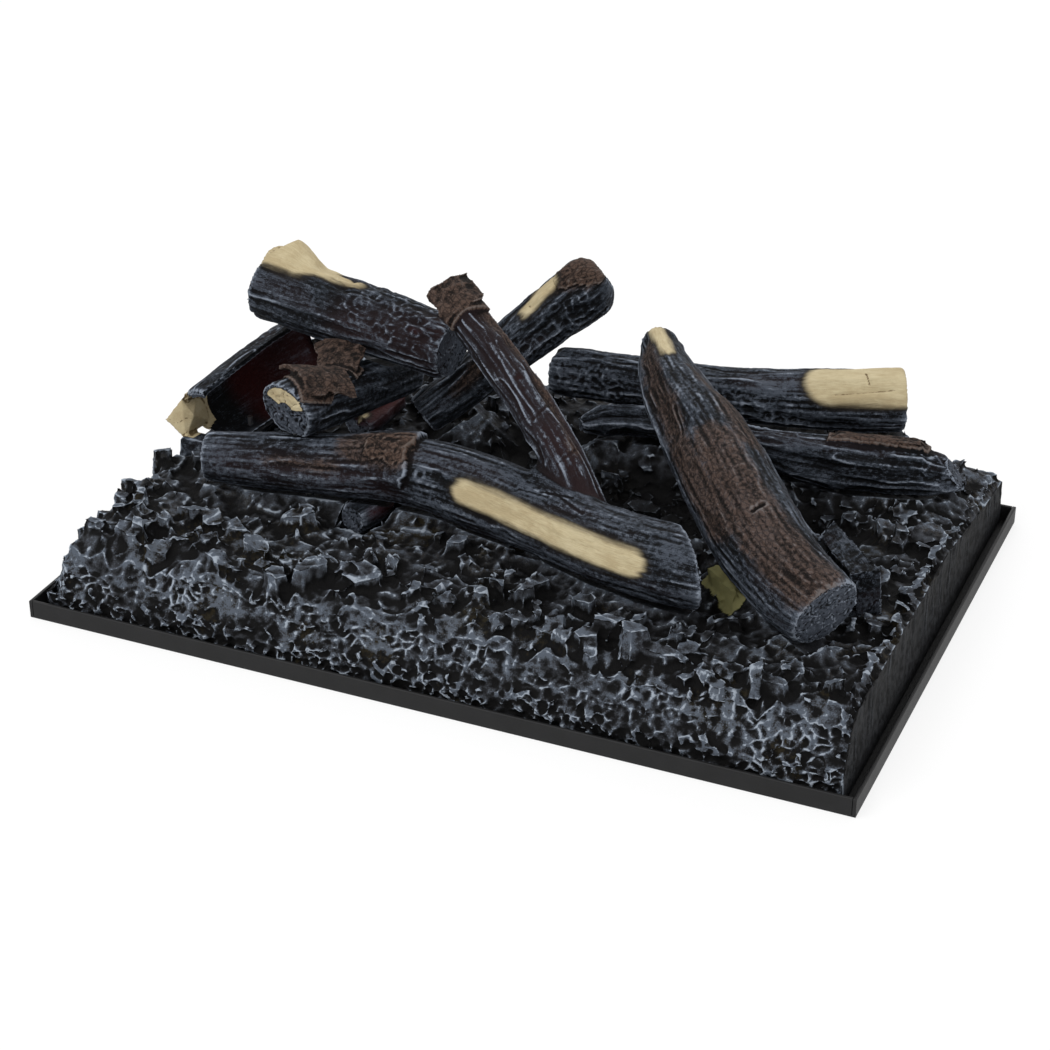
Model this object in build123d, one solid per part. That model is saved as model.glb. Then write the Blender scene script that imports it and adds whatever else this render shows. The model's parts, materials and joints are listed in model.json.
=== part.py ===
from build123d import *
import math
import os
import random

os.makedirs("parts", exist_ok=True)

# Electric fireplace log set: a shallow steel tray, a hollow moulded ember bed that lifts off it,
# light boards and a driver underneath, and a stack of moulded logs on top.
# Millimetres, +Z up, +X to the right, +Y to the back, origin under the middle of the tray.

# Driving dimensions: tray
tray_length = 600.0
tray_depth = 409.0
tray_height = 13.4
sheet_thickness = 1.2
flange_thickness = 2.6
flange_round = 1.0
corner_slit = 0.5

# Driving dimensions: ember bed
bed_side_gap = 7.4
bed_front_gap = 2.9
ridge_height = 58.0
basin_height = 38.0
basin_length = 330.0
basin_depth = 190.0
basin_x = 52.0
basin_y = 34.0
basin_edge = 42.0
edge_foot_height = 20.0
edge_slope_depth = 19.0
right_wall_height = 60.0
right_wall_back_height = 36.0
rear_wall_height = 40.0
rear_slope_depth = 46.0
bed_wall = 4.0
relief_height = 5.0
relief_cell = 13.0
relief_jitter_share = 0.3
relief_seed = 9
cavity_cell = 24.0
cradle_step = 9.0
coal_length = 30.0
coal_width = 22.0
coal_height = 8.0
coal_root = 4.5
coal_count = 220
coal_seed = 5
coal_sides = (4, 5, 6)
coal_size_shares = (0.45, 1.05)
coal_rise_shares = (0.35, 1.0)
coal_slope_share = 0.45
coal_taper_share = 0.78
coal_chip_shares = (0.8, 1.1)

# Driving dimensions: logs
log_diameter = 60.0
log_facet = 27.0
bark_thickness = 3.2
shell_thickness = 6.0
fit_gap = 0.3
overrun = 8.0

# Driving dimensions: fixings
post_radius = 4.0
post_height = 18.0
post_inset = 34.0
post_clearance = 0.4
boss_wall = 4.0
boss_bottom = 7.0
pin_radius = 2.5
pin_grip = 14.0
pin_clearance = 0.3
screw_radius = 2.0
screw_grip = 12.0
screw_head_radius = 4.0
screw_head_height = 2.4
screw_clearance = 0.1
screw_boss_height = 4.0
small_screw_radius = 1.5
small_head_radius = 2.8
small_head_height = 1.6
hexagon_sides = 6
post_taper_share = 0.8

# Driving dimensions: lights and driver
board_thickness = 1.6
board_width = 16.0
support_height = 4.0
support_radius = 3.4
emitter_size = 3.5
emitter_height = 1.2
emitter_pitch = 38.0
front_board_end_gap = 40.0
middle_board_end_gap = 55.0
rear_board_end_gap = 53.0
rear_harness_length = 28.0
driver_length = 120.0
driver_width = 50.0
driver_cover_end_gap = 7.0
driver_cover_side_gap = 4.0
driver_cover_height = 15.0
driver_cover_wall = 1.2
driver_cover_bevel = 2.0
vent_length = 24.0
vent_width = 2.0
vent_pitch = 6.0
vent_count = 5
vent_offset_share = 0.65
transformer_length = 24.0
transformer_width = 20.0
transformer_height = 11.0
capacitor_radius = 4.0
capacitor_height = 10.0
capacitor_pitch = 11.0
connector_length = 9.0
connector_height = 6.0
wire_radius = 1.5
wire_sides = 8
wire_bend = 6.0
clip_length = 8.0
clip_wall = 2.0
clip_y_shares = (0.1, 0.3)
driver_y_share = 0.5
front_board_y_share = -0.65
middle_board_y_share = -0.1
rear_board_y_share = 0.45

# Driving dimensions: rear panel, gland, switch, terminal block
panel_x_share = -0.52
panel_width = 92.0
panel_height = 31.0
panel_foot = 13.0
panel_clearance = 0.6
panel_back_set = 1.0
gland_bore_radius = 3.5
gland_neck_radius = 5.5
gland_lip_radius = 7.2
gland_lip_thickness = 2.6
gland_inner_lip_radius = 6.4
gland_inner_lip_thickness = 3.0
gland_offset = 25.0
switch_offset = 20.0
switch_length = 15.0
switch_height = 10.5
switch_bezel = 1.6
switch_body_length = 13.0
switch_body_height = 8.6
switch_body_depth = 12.0
switch_pocket_depth = 5.6
rocker_length = 10.4
rocker_height = 6.2
rocker_thickness = 3.0
rocker_rise = 1.6
rocker_tilt = 8.0
rocker_pin_radius = 0.8
rocker_pin_length = 0.8
rocker_pin_clearance = 0.05
rocker_side_clearance = 0.35
blade_width = 3.0
blade_thickness = 0.8
blade_length = 7.0
blade_pitch = 6.0
terminal_length = 24.0
terminal_width = 16.0
terminal_height = 12.0
terminal_bevel = 1.5
terminal_screw_radius = 2.0
terminal_screw_sink = 1.0

# Places that follow from the sizes above
half_length = tray_length / 2
half_depth = tray_depth / 2
bed_half_length = half_length - flange_thickness - bed_side_gap
bed_half_depth = half_depth - flange_thickness - bed_front_gap
floor_top = sheet_thickness
board_bottom = floor_top + support_height
board_top = board_bottom + board_thickness
wire_height = board_bottom + board_thickness / 2
panel_x = bed_half_length * panel_x_share
panel_y = bed_half_depth - panel_back_set
fitting_height = (tray_height + panel_height) / 2
gland_x = panel_x - gland_offset
switch_x = panel_x + switch_offset
driver_x = panel_x
driver_y = bed_half_depth * driver_y_share
driver_cover_length = driver_length - 2 * (connector_length + driver_cover_end_gap)
driver_cover_width = driver_width - 2 * driver_cover_side_gap
rear_board_start = driver_x + driver_length / 2 + rear_harness_length
rear_board_end = bed_half_length - rear_board_end_gap
terminal_y = driver_y + driver_width / 2 + terminal_width / 2 + fit_gap + clip_length

# Each log: centre points as shares of the bed's half length, its half depth and (above the ridge)
# the log diameter, then the radius there as a share of the log diameter.
# Flats are split faces: angle from the top, depth as a share of the radius, start and end shares.
# Plates are raised bark: angle from the top, half width in degrees, start and end shares.
# Leans tilt an end face: shares towards the log's side and towards its top.
log_shares = {
    "front": dict(
        seed=11,
        path_shares=[(-0.777, -0.404, 0.43, 0.33), (-0.631, -0.366, 0.46, 0.37), (-0.46, -0.321, 0.49, 0.40),
                     (-0.288, -0.266, 0.51, 0.45), (-0.065, -0.303, 0.52, 0.483), (0.141, -0.387, 0.50, 0.467),
                     (0.341, -0.475, 0.483, 0.467), (0.519, -0.509, 0.5, 0.5)],
        flat_shares=[(62, 0.86, 0.52, 0.97)],
        plate_shares=[(10, 38, 0.38, 0.5)],
        end_lean_shares=(0.75, 0.0),
    ),
    "branch": dict(
        seed=23,
        path_shares=[(-0.273, 0.145, 2.13, 0.267), (-0.171, 0.032, 1.967, 0.3), (-0.071, -0.064, 1.733, 0.3),
                     (0.029, -0.165, 1.467, 0.3), (0.127, -0.253, 1.1, 0.3), (0.222, -0.301, 0.7, 0.333)],
        flat_shares=[],
        plate_shares=[(0, 62, 0.0, 0.2), (-60, 24, 0.25, 0.75)],
    ),
    "top_left": dict(
        seed=31,
        path_shares=[(-0.832, 0.271, 1.7, 0.5), (-0.27, 0.146, 1.483, 0.433)],
        flat_shares=[(48, 0.72, 0.0, 0.5)],
        plate_shares=[],
        start_lean_shares=(-0.1, 0.0),
    ),
    "leaning": dict(
        seed=43,
        path_shares=[(-0.421, 0.305, 0.2, 0.317), (-0.063, 0.76, 1.75, 0.467)],
        flat_shares=[(72, 0.8, 0.45, 0.8)],
        plate_shares=[],
    ),
    "back": dict(
        seed=53,
        path_shares=[(-0.142, 0.606, 0.667, 0.35), (0.039, 0.635, 0.667, 0.36), (0.304, 0.664, 0.667, 0.383),
                     (0.547, 0.763, 0.667, 0.417), (0.748, 0.88, 0.683, 0.45)],
        flat_shares=[(58, 0.82, 0.6, 1.0)],
        plate_shares=[(95, 26, 0.42, 0.62)],
    ),
    "right": dict(
        seed=61,
        path_shares=[(-0.001, 0.368, 0.4, 0.16), (0.044, 0.421, 0.417, 0.233), (0.16, 0.475, 0.433, 0.25),
                     (0.442, 0.473, 0.4, 0.28), (0.677, 0.49, 0.367, 0.367), (0.867, 0.543, 0.367, 0.333),
                     (0.945, 0.567, 0.367, 0.25)],
        flat_shares=[(30, 0.7, 0.0, 0.35)],
        plate_shares=[(20, 24, 0.62, 0.92)],
        end_lean_shares=(0.0, -0.5),
    ),
    "front_right": dict(
        seed=71,
        path_shares=[(0.163, 0.565, 1.26, 0.317), (0.255, 0.345, 1.2, 0.417), (0.384, 0.115, 1.08, 0.533),
                     (0.494, -0.076, 0.933, 0.567), (0.643, -0.336, 0.7, 0.567), (0.779, -0.511, 0.533, 0.517),
                     (0.862, -0.592, 0.467, 0.483)],
        flat_shares=[(-42, 0.8, 0.0, 0.3)],
        plate_shares=[(20, 40, 0.04, 0.3), (35, 25, 0.5, 0.62)],
        start_lean_shares=(0.0, -0.6),
        end_lean_shares=(0.0, 0.15),
    ),
    "short": dict(
        seed=83,
        path_shares=[(-0.556, -0.382, 1.19, 0.37), (-0.505, -0.025, 0.98, 0.36), (-0.453, 0.331, 0.767, 0.3)],
        flat_shares=[],
        plate_shares=[(0, 40, 0.05, 0.4), (-40, 30, 0.55, 0.8)],
        start_lean_shares=(0.0, -0.35),
    ),
    "hollow": dict(
        seed=97,
        path_shares=[(-0.875, -0.08, 0.33, 0.5), (-0.825, 0.212, 0.5, 0.533), (-0.754, 0.511, 0.69, 0.533)],
        flat_shares=[],
        plate_shares=[],
        start_lean_shares=(0.0, -0.3),
        open_degrees=(5, 120),
    ),
    "under_right": dict(
        seed=101,
        path_shares=[(0.56, 0.13, 0.02, 0.4), (0.70, -0.12, 0.02, 0.45), (0.82, -0.33, 0.02, 0.4)],
        flat_shares=[(0, 0.4, 0.0, 1.0)],
        plate_shares=[],
    ),
    "under_left": dict(
        seed=113,
        path_shares=[(-0.366, -0.44, 0.04, 0.24), (-0.34, -0.25, 0.04, 0.26)],
        flat_shares=[(0, 0.6, 0.0, 1.0)],
        plate_shares=[],
    ),
    "glow": dict(
        seed=127,
        path_shares=[(-0.545, 0.13, 0.22, 0.24), (-0.53, 0.42, 0.22, 0.24)],
        flat_shares=[(20, 0.6, 0.0, 1.0)],
        plate_shares=[],
    ),
}
log_side_count = 14
dent_share = 0.09
ridge_chance_share = 0.45
cradle_depth_share = 0.72
cradle_fall_share = 0.9
cradle_reach_share = 0.3
grazing_share = 0.05
dowel_share = 0.08
resting_logs = ("front", "back", "right", "front_right", "leaning", "hollow", "under_right", "under_left",
                "glow")

# Where each log is fixed from below, or stands on a pin, as shares along its length
screwed_logs = {"back": (0.2, 0.8), "right": (0.7,), "hollow": (0.3, 0.75), "under_right": (0.5,),
                "under_left": (0.6,), "glow": (0.5,)}
pinned_logs = {"front": (0.2, 0.8), "front_right": (0.88,)}

# The coals that stand out in the front of the bed: place shares, size shares, turn, height share
chief_coal_shares = [(-0.476, -0.52, 1.2, 1.2, 12, 1.4), (0.176, -0.60, 0.9, 1.1, 30, 1.3),
                     (-0.255, -0.76, 1.0, 0.9, -20, 1.1), (0.514, -0.845, 2.1, 0.7, 6, 1.2),
                     (0.80, -0.87, 1.1, 0.9, 15, 1.1), (-0.82, -0.84, 1.2, 0.9, -35, 1.3),
                     (-0.514, -0.74, 0.9, 0.8, 40, 1.2), (0.0, -0.80, 0.9, 0.8, 60, 1.0)]


def smooth(share):
    share = max(0.0, min(1.0, share))
    return share * share * (3 - 2 * share)


def shoulder(share):
    return math.sin(math.pi / 2 * max(0.0, min(1.0, share)))


# Log centre lines, cross sections and solids
def centre_points(name):
    points = []
    for x_share, y_share, lift_share, radius_share in log_shares[name]["path_shares"]:
        place = Vector(x_share * bed_half_length, y_share * bed_half_depth,
                       ridge_height + lift_share * log_diameter)
        points.append((place, radius_share * log_diameter))
    return points


def centre_line(name):
    places = [place for place, radius in centre_points(name)]
    return Line(*places) if len(places) == 2 else Spline(*places)


def radius_along(name, share):
    points = centre_points(name)
    runs = [0.0]
    for (before, _), (after, _) in zip(points, points[1:]):
        runs.append(runs[-1] + (after - before).length)
    for k in range(len(points) - 1):
        start, end = runs[k] / runs[-1], runs[k + 1] / runs[-1]
        if share <= end or k == len(points) - 2:
            part = (share - start) / (end - start)
            return points[k][1] * (1 - part) + points[k + 1][1] * part


def stations(name):
    # centre, radius, along, side and top direction at evenly spaced places
    line = centre_line(name)
    count = max(4, round(line.length / log_facet))
    found = []
    for k in range(count + 1):
        share = k / count
        along = line.tangent_at(share)
        side = along.cross(Vector(0, 0, 1)).normalized()
        top = side.cross(along).normalized()
        found.append((share, line.position_at(share), radius_along(name, share), along, side, top))
    return found


def skin_radius(shape, radius, angle, share, dent):
    # ridges reach the full radius, and dents, split faces and bark plates depart from it
    reach = radius * (1 - dent)
    for flat_angle, depth_share, start, end in shape["flat_shares"]:
        facing = math.cos(math.radians(angle - flat_angle))
        if start <= share <= end and facing > grazing_share:
            reach = min(reach, radius * depth_share / facing)
    for plate_angle, half_width, start, end in shape["plate_shares"]:
        turn = (angle - plate_angle + 180) % 360 - 180
        if start <= share <= end and abs(turn) <= half_width:
            reach = max(reach, radius) + bark_thickness
    return reach


def log_rings(name, grow=0.0, closed=False):
    shape = log_shares[name]
    dice = random.Random(shape["seed"])
    first_lean = shape.get("start_lean_shares", (0.0, 0.0))
    last_lean = shape.get("end_lean_shares", (0.0, 0.0))
    opening = shape.get("open_degrees")
    rings = []
    marks = stations(name)
    for share, centre, radius, along, side, top in marks:
        if opening:
            sweep = 360 - (opening[1] - opening[0])
            angles = [opening[1] + sweep * k / log_side_count for k in range(log_side_count + 1)]
        else:
            angles = [360 * k / log_side_count for k in range(log_side_count)]
        outer = []
        for angle in angles:
            dent = 0.0 if dice.random() < ridge_chance_share else dice.random() * dent_share
            outer.append((angle, skin_radius(shape, radius, angle, share, dent) + grow))
        profile = outer
        if opening and not closed:
            profile = outer + [(angle, reach - shell_thickness) for angle, reach in reversed(outer)]
        ring = []
        for angle, reach in profile:
            over_side = reach * math.sin(math.radians(angle))
            over_top = reach * math.cos(math.radians(angle))
            slide = 0.0
            if share == 0:
                slide = over_side * first_lean[0] + over_top * first_lean[1] - grow
            if share == 1:
                slide = over_side * last_lean[0] + over_top * last_lean[1] + grow
            ring.append(centre + side * over_side + top * over_top + along * slide)
        rings.append(ring)
    return rings


def faceted_solid(rings):
    faces = []
    for ring, following in zip(rings, rings[1:]):
        for k in range(len(ring)):
            a, b = ring[k - 1], ring[k]
            c, d = following[k], following[k - 1]
            faces.append(Face(Wire.make_polygon([a, b, c])))
            faces.append(Face(Wire.make_polygon([a, c, d])))
    faces.append(Face(Wire.make_polygon(rings[0])))
    faces.append(Face(Wire.make_polygon(rings[-1])))
    solid = Solid(Shell(faces))
    return solid if solid.volume > 0 else Solid(solid.wrapped.Reversed())


def log_solid(name, grow=0.0, closed=False):
    return faceted_solid(log_rings(name, grow, closed))


def log_envelope(name, grow):
    # the straight tapered space that a log needs to slide out along its own length
    (start, start_radius), (end, end_radius) = centre_points(name)
    along = (end - start).normalized()
    plane = Plane(origin=start - along * overrun, z_dir=along)
    length = (end - start).length + 2 * overrun
    return Solid.make_cone(start_radius + grow, end_radius + grow, length, plane)


def place_on_log(name, share):
    place = centre_line(name).position_at(share)
    return place.X, place.Y, place.Z, radius_along(name, share)


# Ember bed surface
def bed_height(x, y):
    from_front = y + bed_half_depth
    from_rear = bed_half_depth - y
    from_left = x + bed_half_length
    from_right = bed_half_length - x
    away = math.hypot((x - basin_x) / (basin_length / 2), (y - basin_y) / (basin_depth / 2))
    inside = smooth((1 - away) * basin_depth / 2 / basin_edge + 0.5)
    height = ridge_height - (ridge_height - basin_height) * inside
    foot = edge_foot_height
    height = min(height, foot + (ridge_height - foot) * shoulder(from_front / edge_slope_depth))
    height = min(height, foot + (ridge_height - foot) * shoulder(from_left / edge_slope_depth))
    height = min(height, rear_wall_height + (ridge_height - rear_wall_height)
                 * shoulder(from_rear / rear_slope_depth))
    back_share = smooth(y / bed_half_depth)
    wall = right_wall_height - (right_wall_height - right_wall_back_height) * back_share
    height = min(height, wall + (ridge_height - min(wall, ridge_height)) * shoulder(from_right / rear_slope_depth))
    return height


def low_marks():
    # centre and radius along each log where it lies low enough to rest on the embers
    marks = []
    for name in resting_logs:
        line = centre_line(name)
        count = round(line.length / cradle_step)
        for k in range(1, count):
            centre, radius = line.position_at(k / count), radius_along(name, k / count)
            if centre.Z - radius < ridge_height + cradle_reach_share * log_diameter:
                marks.append((centre, radius))
    return marks


resting_marks = low_marks()


def cradle_height(x, y):
    # embers are heaped under each resting log
    height = 0.0
    for centre, radius in resting_marks:
        away = math.hypot(x - centre.X, y - centre.Y) / radius
        height = max(height, centre.Z - radius * (cradle_depth_share + cradle_fall_share * away * away))
    return height


def cavity_roof(x, y):
    # the skin keeps its thickness under the embers and under the pockets that the logs lie in
    roof = bed_height(x, y) - relief_height / 2
    for centre, radius in resting_marks:
        if math.hypot(x - centre.X, y - centre.Y) < radius + cavity_cell:
            roof = min(roof, centre.Z - radius)
    return roof - bed_wall


def coal_places():
    # place, half sizes, turn and rise of each coal, none with its middle under a resting log
    dice = random.Random(coal_seed)
    places = []
    for x_share, y_share, long_share, wide_share, turn, rise_share in chief_coal_shares:
        places.append((x_share * bed_half_length, y_share * bed_half_depth, long_share * coal_length / 2,
                       wide_share * coal_width / 2, math.radians(turn), rise_share * coal_height))
    for _ in range(coal_count):
        size_share = dice.uniform(*coal_size_shares)
        half_long, half_wide = size_share * coal_length / 2, size_share * coal_width / 2
        x = dice.uniform(-1, 1) * (bed_half_length - edge_slope_depth / 2 - half_wide)
        y = dice.uniform(-1, 1) * (bed_half_depth - edge_slope_depth / 2 - half_wide)
        turn, rise = dice.uniform(0, math.pi), dice.uniform(*coal_rise_shares) * coal_height
        if all(math.hypot(x - centre.X, y - centre.Y) > radius for centre, radius in resting_marks):
            places.append((x, y, half_long, half_wide, turn, rise))
    return places


def coal(x, y, half_long, half_wide, turn, rise, dice):
    # a lump with an uneven foot in the bed and a smaller, tilted top
    sides = dice.choice(coal_sides)
    corners = [(2 * math.pi * (k + dice.uniform(-1, 1) / 4) / sides, dice.uniform(*coal_chip_shares))
               for k in range(sides)]
    slope_long, slope_wide = [dice.uniform(-coal_slope_share, coal_slope_share) for _ in range(2)]
    rings = []
    for level, taper_share in ((-coal_root, 1), (rise, coal_taper_share)):
        ring = []
        for angle, chip in corners:
            along, across = math.cos(angle) * chip * taper_share, math.sin(angle) * chip * taper_share
            tilt = max(level, 0) * (slope_long * along + slope_wide * across)
            ring.append(Vector(x + half_long * along * math.cos(turn) - half_wide * across * math.sin(turn),
                               y + half_long * along * math.sin(turn) + half_wide * across * math.cos(turn),
                               bed_height(x, y) + level + tilt))
        rings.append(ring)
    return faceted_solid(rings)


def height_field_solid(half_x, half_y, bottom, cell, height_at, jitter_share):
    # a block with a flat bottom, straight sides and a faceted top
    columns = max(4, round(2 * half_x / cell))
    rows = max(4, round(2 * half_y / cell))
    dice = random.Random(relief_seed)
    top = []
    for row in range(rows + 1):
        line = []
        for column in range(columns + 1):
            x = -half_x + 2 * half_x * column / columns
            y = -half_y + 2 * half_y * row / rows
            if 0 < column < columns:
                x += dice.uniform(-jitter_share, jitter_share) * cell
            if 0 < row < rows:
                y += dice.uniform(-jitter_share, jitter_share) * cell
            line.append(Vector(x, y, height_at(x, y, dice)))
        top.append(line)
    faces = []
    for row in range(rows):
        for column in range(columns):
            a, b = top[row][column], top[row][column + 1]
            c, d = top[row + 1][column + 1], top[row + 1][column]
            if (row + column) % 2:
                faces.append(Face(Wire.make_polygon([a, b, c])))
                faces.append(Face(Wire.make_polygon([a, c, d])))
            else:
                faces.append(Face(Wire.make_polygon([a, b, d])))
                faces.append(Face(Wire.make_polygon([b, c, d])))
    corners = [Vector(sx * half_x, sy * half_y, bottom) for sx, sy in ((-1, -1), (1, -1), (1, 1), (-1, 1))]
    edges = [top[0], [line[-1] for line in top], list(reversed(top[-1])), [line[0] for line in reversed(top)]]
    for k, edge in enumerate(edges):
        faces.append(Face(Wire.make_polygon(edge + [corners[(k + 1) % 4], corners[k]])))
    faces.append(Face(Wire.make_polygon(corners)))
    solid = Solid(Shell(faces))
    return solid if solid.volume > 0 else Solid(solid.wrapped.Reversed())


def boss(x, y, low, reach):
    # a square pad that hangs from the roof of the cavity
    high = cavity_roof(x, y) + bed_wall / 2
    return Pos(x, y, (low + high) / 2) * Box(2 * reach, 2 * reach, high - low)


def upright(x, y, low, high, radius):
    return Pos(x, y, (low + high) / 2) * Cylinder(radius, high - low)


def hexagon_upright(x, y, low, high, radius):
    return extrude(Pos(x, y, low) * RegularPolygon(radius, hexagon_sides), high - low)


def post_places():
    reach_x = bed_half_length - post_inset
    reach_y = bed_half_depth - post_inset
    return [(sx * reach_x, sy * reach_y) for sx in (-1, 1) for sy in (-1, 1)]


def fixing_places(table):
    return [(name, *place_on_log(name, share)) for name, shares in table.items() for share in shares]


def ember_bed():
    def top_height(x, y, dice):
        rough = dice.uniform(-relief_height, relief_height) / 2
        if abs(x) == bed_half_length or abs(y) == bed_half_depth:
            rough = dice.uniform(0, relief_height) / 2
        return max(bed_height(x, y), cradle_height(x, y)) + rough

    def roof_height(x, y, dice):
        return cavity_roof(x, y)

    block = height_field_solid(bed_half_length, bed_half_depth, floor_top, relief_cell, top_height,
                               relief_jitter_share)
    hollow = height_field_solid(bed_half_length - bed_wall, bed_half_depth - bed_wall, floor_top - overrun,
                                cavity_cell, roof_height, 0.0)
    dice = random.Random(coal_seed)
    adds = [coal(*place, dice) for place in coal_places()]
    adds += [boss(x, y, boss_bottom, post_radius + post_clearance + boss_wall) for x, y in post_places()]
    cuts = [upright(x, y, boss_bottom - overrun, post_height + fit_gap + boss_wall, post_radius + post_clearance)
            for x, y in post_places()]
    for name, x, y, z, radius in fixing_places(screwed_logs):
        adds.append(boss(x, y, cavity_roof(x, y) - screw_boss_height, screw_head_radius + boss_wall / 2))
        cuts.append(upright(x, y, 0, z, screw_radius + screw_clearance))
    for name, x, y, z, radius in fixing_places(pinned_logs):
        adds.append(boss(x, y, cavity_roof(x, y) - screw_boss_height, pin_radius + boss_wall))
        cuts.append(upright(x, y, cavity_roof(x, y), z, pin_radius))
    for name in resting_logs:
        cuts.append(lean_space if name == "leaning" else log_solid(name, fit_gap, closed=True))
    cuts.append(Pos(panel_x, panel_y, panel_height / 2)
                * Box(panel_width + 2 * panel_clearance, bed_wall * 3, panel_height + 2 * panel_clearance))
    return block.cut(hollow).fuse(*adds).cut(*cuts)


# Pins and screws that hold the logs
def log_screw(x, y, z, radius):
    seat = cavity_roof(x, y) - screw_boss_height
    low = z - radius
    shank = upright(x, y, seat, low + screw_grip, screw_radius)
    head = hexagon_upright(x, y, seat - screw_head_height, seat, screw_head_radius)
    return shank.fuse(head)


def pilot_hole(x, y, z, radius):
    return upright(x, y, z - 2 * radius, z - radius + screw_grip + fit_gap, screw_radius + screw_clearance)


def log_pin(x, y, z, radius):
    return upright(x, y, cavity_roof(x, y), z - radius + pin_grip, pin_radius)


def pin_socket(x, y, z, radius):
    return upright(x, y, z - 2 * radius, z - radius + pin_grip + pin_clearance, pin_radius + pin_clearance)


def fixed_log(name, *cuts):
    holes = [pilot_hole(*place) for log, *place in fixing_places(screwed_logs) if log == name]
    return log_solid(name).cut(*holes, *cuts)


def dowel_span():
    x, y, z, radius = place_on_log("short", dowel_share)
    low = z - radius - pin_grip
    return x, y, low, low + 2 * pin_grip


def front_log():
    x, y, low, high = dowel_span()
    holes = [pin_socket(*place) for log, *place in fixing_places(pinned_logs) if log == "front"]
    holes.append(upright(x, y, low - fit_gap, high, pin_radius + screw_clearance))
    return log_solid("front").fuse(log_solid("branch")).cut(log_envelope("top_left", fit_gap), *holes)


def left_short_log():
    x, y, low, high = dowel_span()
    hole = upright(x, y, low, high + fit_gap, pin_radius + screw_clearance)
    return log_solid("short").cut(log_solid("front", fit_gap), log_envelope("top_left", fit_gap),
                                  log_envelope("leaning", fit_gap), log_solid("glow", fit_gap), hole)


def front_right_log():
    holes = [pin_socket(*place) for log, *place in fixing_places(pinned_logs) if log == "front_right"]
    return log_solid("front_right").cut(log_solid("back", fit_gap), log_solid("right", fit_gap), *holes)


# Tray
def base_tray():
    outer = Pos(0, 0, tray_height / 2) * Box(tray_length, tray_depth, tray_height)
    inner = Pos(0, 0, floor_top + tray_height / 2) * Box(
        tray_length - 2 * flange_thickness, tray_depth - 2 * flange_thickness, tray_height)
    pan = outer - inner
    rim = [edge for edge in pan.edges() if abs(edge.center().Z - tray_height) < flange_round / 10]
    pan = fillet(rim, flange_round)
    slits = []
    for sx in (-1, 1):
        for sy in (-1, 1):
            slits.append(Pos(sx * (half_length - flange_thickness), sy * half_depth, tray_height)
                         * Box(corner_slit, 2 * flange_thickness, 2 * (tray_height - floor_top)))
    return pan - slits


def screw_down(x, y, low, high):
    shank = upright(x, y, low, high, small_screw_radius)
    return shank.fuse(hexagon_upright(x, y, high, high + small_head_height, small_head_radius))


# Light boards: middle place and length of each
boards = {
    "front": (0.0, bed_half_depth * front_board_y_share, 2 * (bed_half_length - front_board_end_gap)),
    "middle": (0.0, bed_half_depth * middle_board_y_share, 2 * (bed_half_length - middle_board_end_gap)),
    "rear": ((rear_board_start + rear_board_end) / 2, bed_half_depth * rear_board_y_share,
             rear_board_end - rear_board_start),
}


def board_support_places(name):
    x, y, length = boards[name]
    reach = length / 2 - board_width / 2
    return [(x - reach, y), (x + reach, y)]


def led_board(name):
    x, y, length = boards[name]
    board = Pos(x, y, board_bottom + board_thickness / 2) * Box(length, board_width, board_thickness)
    holes = [upright(px, py, 0, board_top + overrun, small_screw_radius + screw_clearance)
             for px, py in board_support_places(name)]
    return board - holes


def led_emitters(name):
    x, y, length = boards[name]
    count = 2 * int((length - 3 * board_width) / emitter_pitch / 2)
    emitters = []
    for k in range(count):
        place = (k - (count - 1) / 2) * emitter_pitch
        emitters.append(Pos(x + place, y, board_top + emitter_height / 2)
                        * Box(emitter_size, emitter_size, emitter_height))
    return emitters


def board_support(x, y):
    # a stuck-down nylon peg: the board rests on its body and snaps under its cap
    body = hexagon_upright(x, y, floor_top, board_bottom, support_radius)
    neck = upright(x, y, board_bottom, board_top, small_screw_radius)
    cap = hexagon_upright(x, y, board_top, board_top + small_head_height, small_head_radius)
    return body.fuse(neck, cap)


# Driver
def driver_corners():
    reach_x = driver_length / 2 - support_radius - fit_gap
    reach_y = driver_width / 2 - support_radius - fit_gap
    return [(driver_x + sx * reach_x, driver_y + sy * reach_y) for sx in (-1, 1) for sy in (-1, 1)]


def driver_board():
    board = Pos(driver_x, driver_y, board_bottom + board_thickness / 2) * Box(
        driver_length, driver_width, board_thickness)
    return board - [upright(x, y, 0, board_top + overrun, small_screw_radius + screw_clearance)
                    for x, y in driver_corners()]


def driver_cover():
    middle = board_top + driver_cover_height / 2
    outer = Pos(driver_x, driver_y, middle) * Box(driver_cover_length, driver_cover_width, driver_cover_height)
    top_edges = outer.faces().sort_by(Axis.Z)[-1].edges() + outer.edges().filter_by(Axis.Z)
    outer = chamfer(top_edges, driver_cover_bevel)
    inner = Pos(driver_x, driver_y, middle - driver_cover_wall) * Box(
        driver_cover_length - 2 * driver_cover_wall, driver_cover_width - 2 * driver_cover_wall,
        driver_cover_height)
    vents = [Pos(driver_x + dx, driver_y + (k - (vent_count - 1) / 2) * vent_pitch, board_top + driver_cover_height)
             * Box(vent_length, vent_width, 4 * driver_cover_wall)
             for k in range(vent_count) for dx in (-vent_length * vent_offset_share, vent_length * vent_offset_share)]
    return outer - inner - vents


def driver_transformer():
    block = Pos(driver_x - driver_cover_length / 4, driver_y, board_top + transformer_height / 2) * Box(
        transformer_length, transformer_width, transformer_height)
    return chamfer(block.edges().filter_by(Axis.Z), driver_cover_wall)


def driver_capacitors():
    return [upright(driver_x + driver_cover_length / 5, driver_y + k * capacitor_pitch, board_top,
                    board_top + capacitor_height, capacitor_radius) for k in (-0.5, 0.5)]


def driver_connectors():
    reach = driver_length / 2 - connector_length / 2
    return [Pos(driver_x + sx * reach, driver_y, board_top + connector_height / 2)
            * Box(connector_length, driver_width / 2, connector_height) for sx in (-1, 1)]


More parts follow.
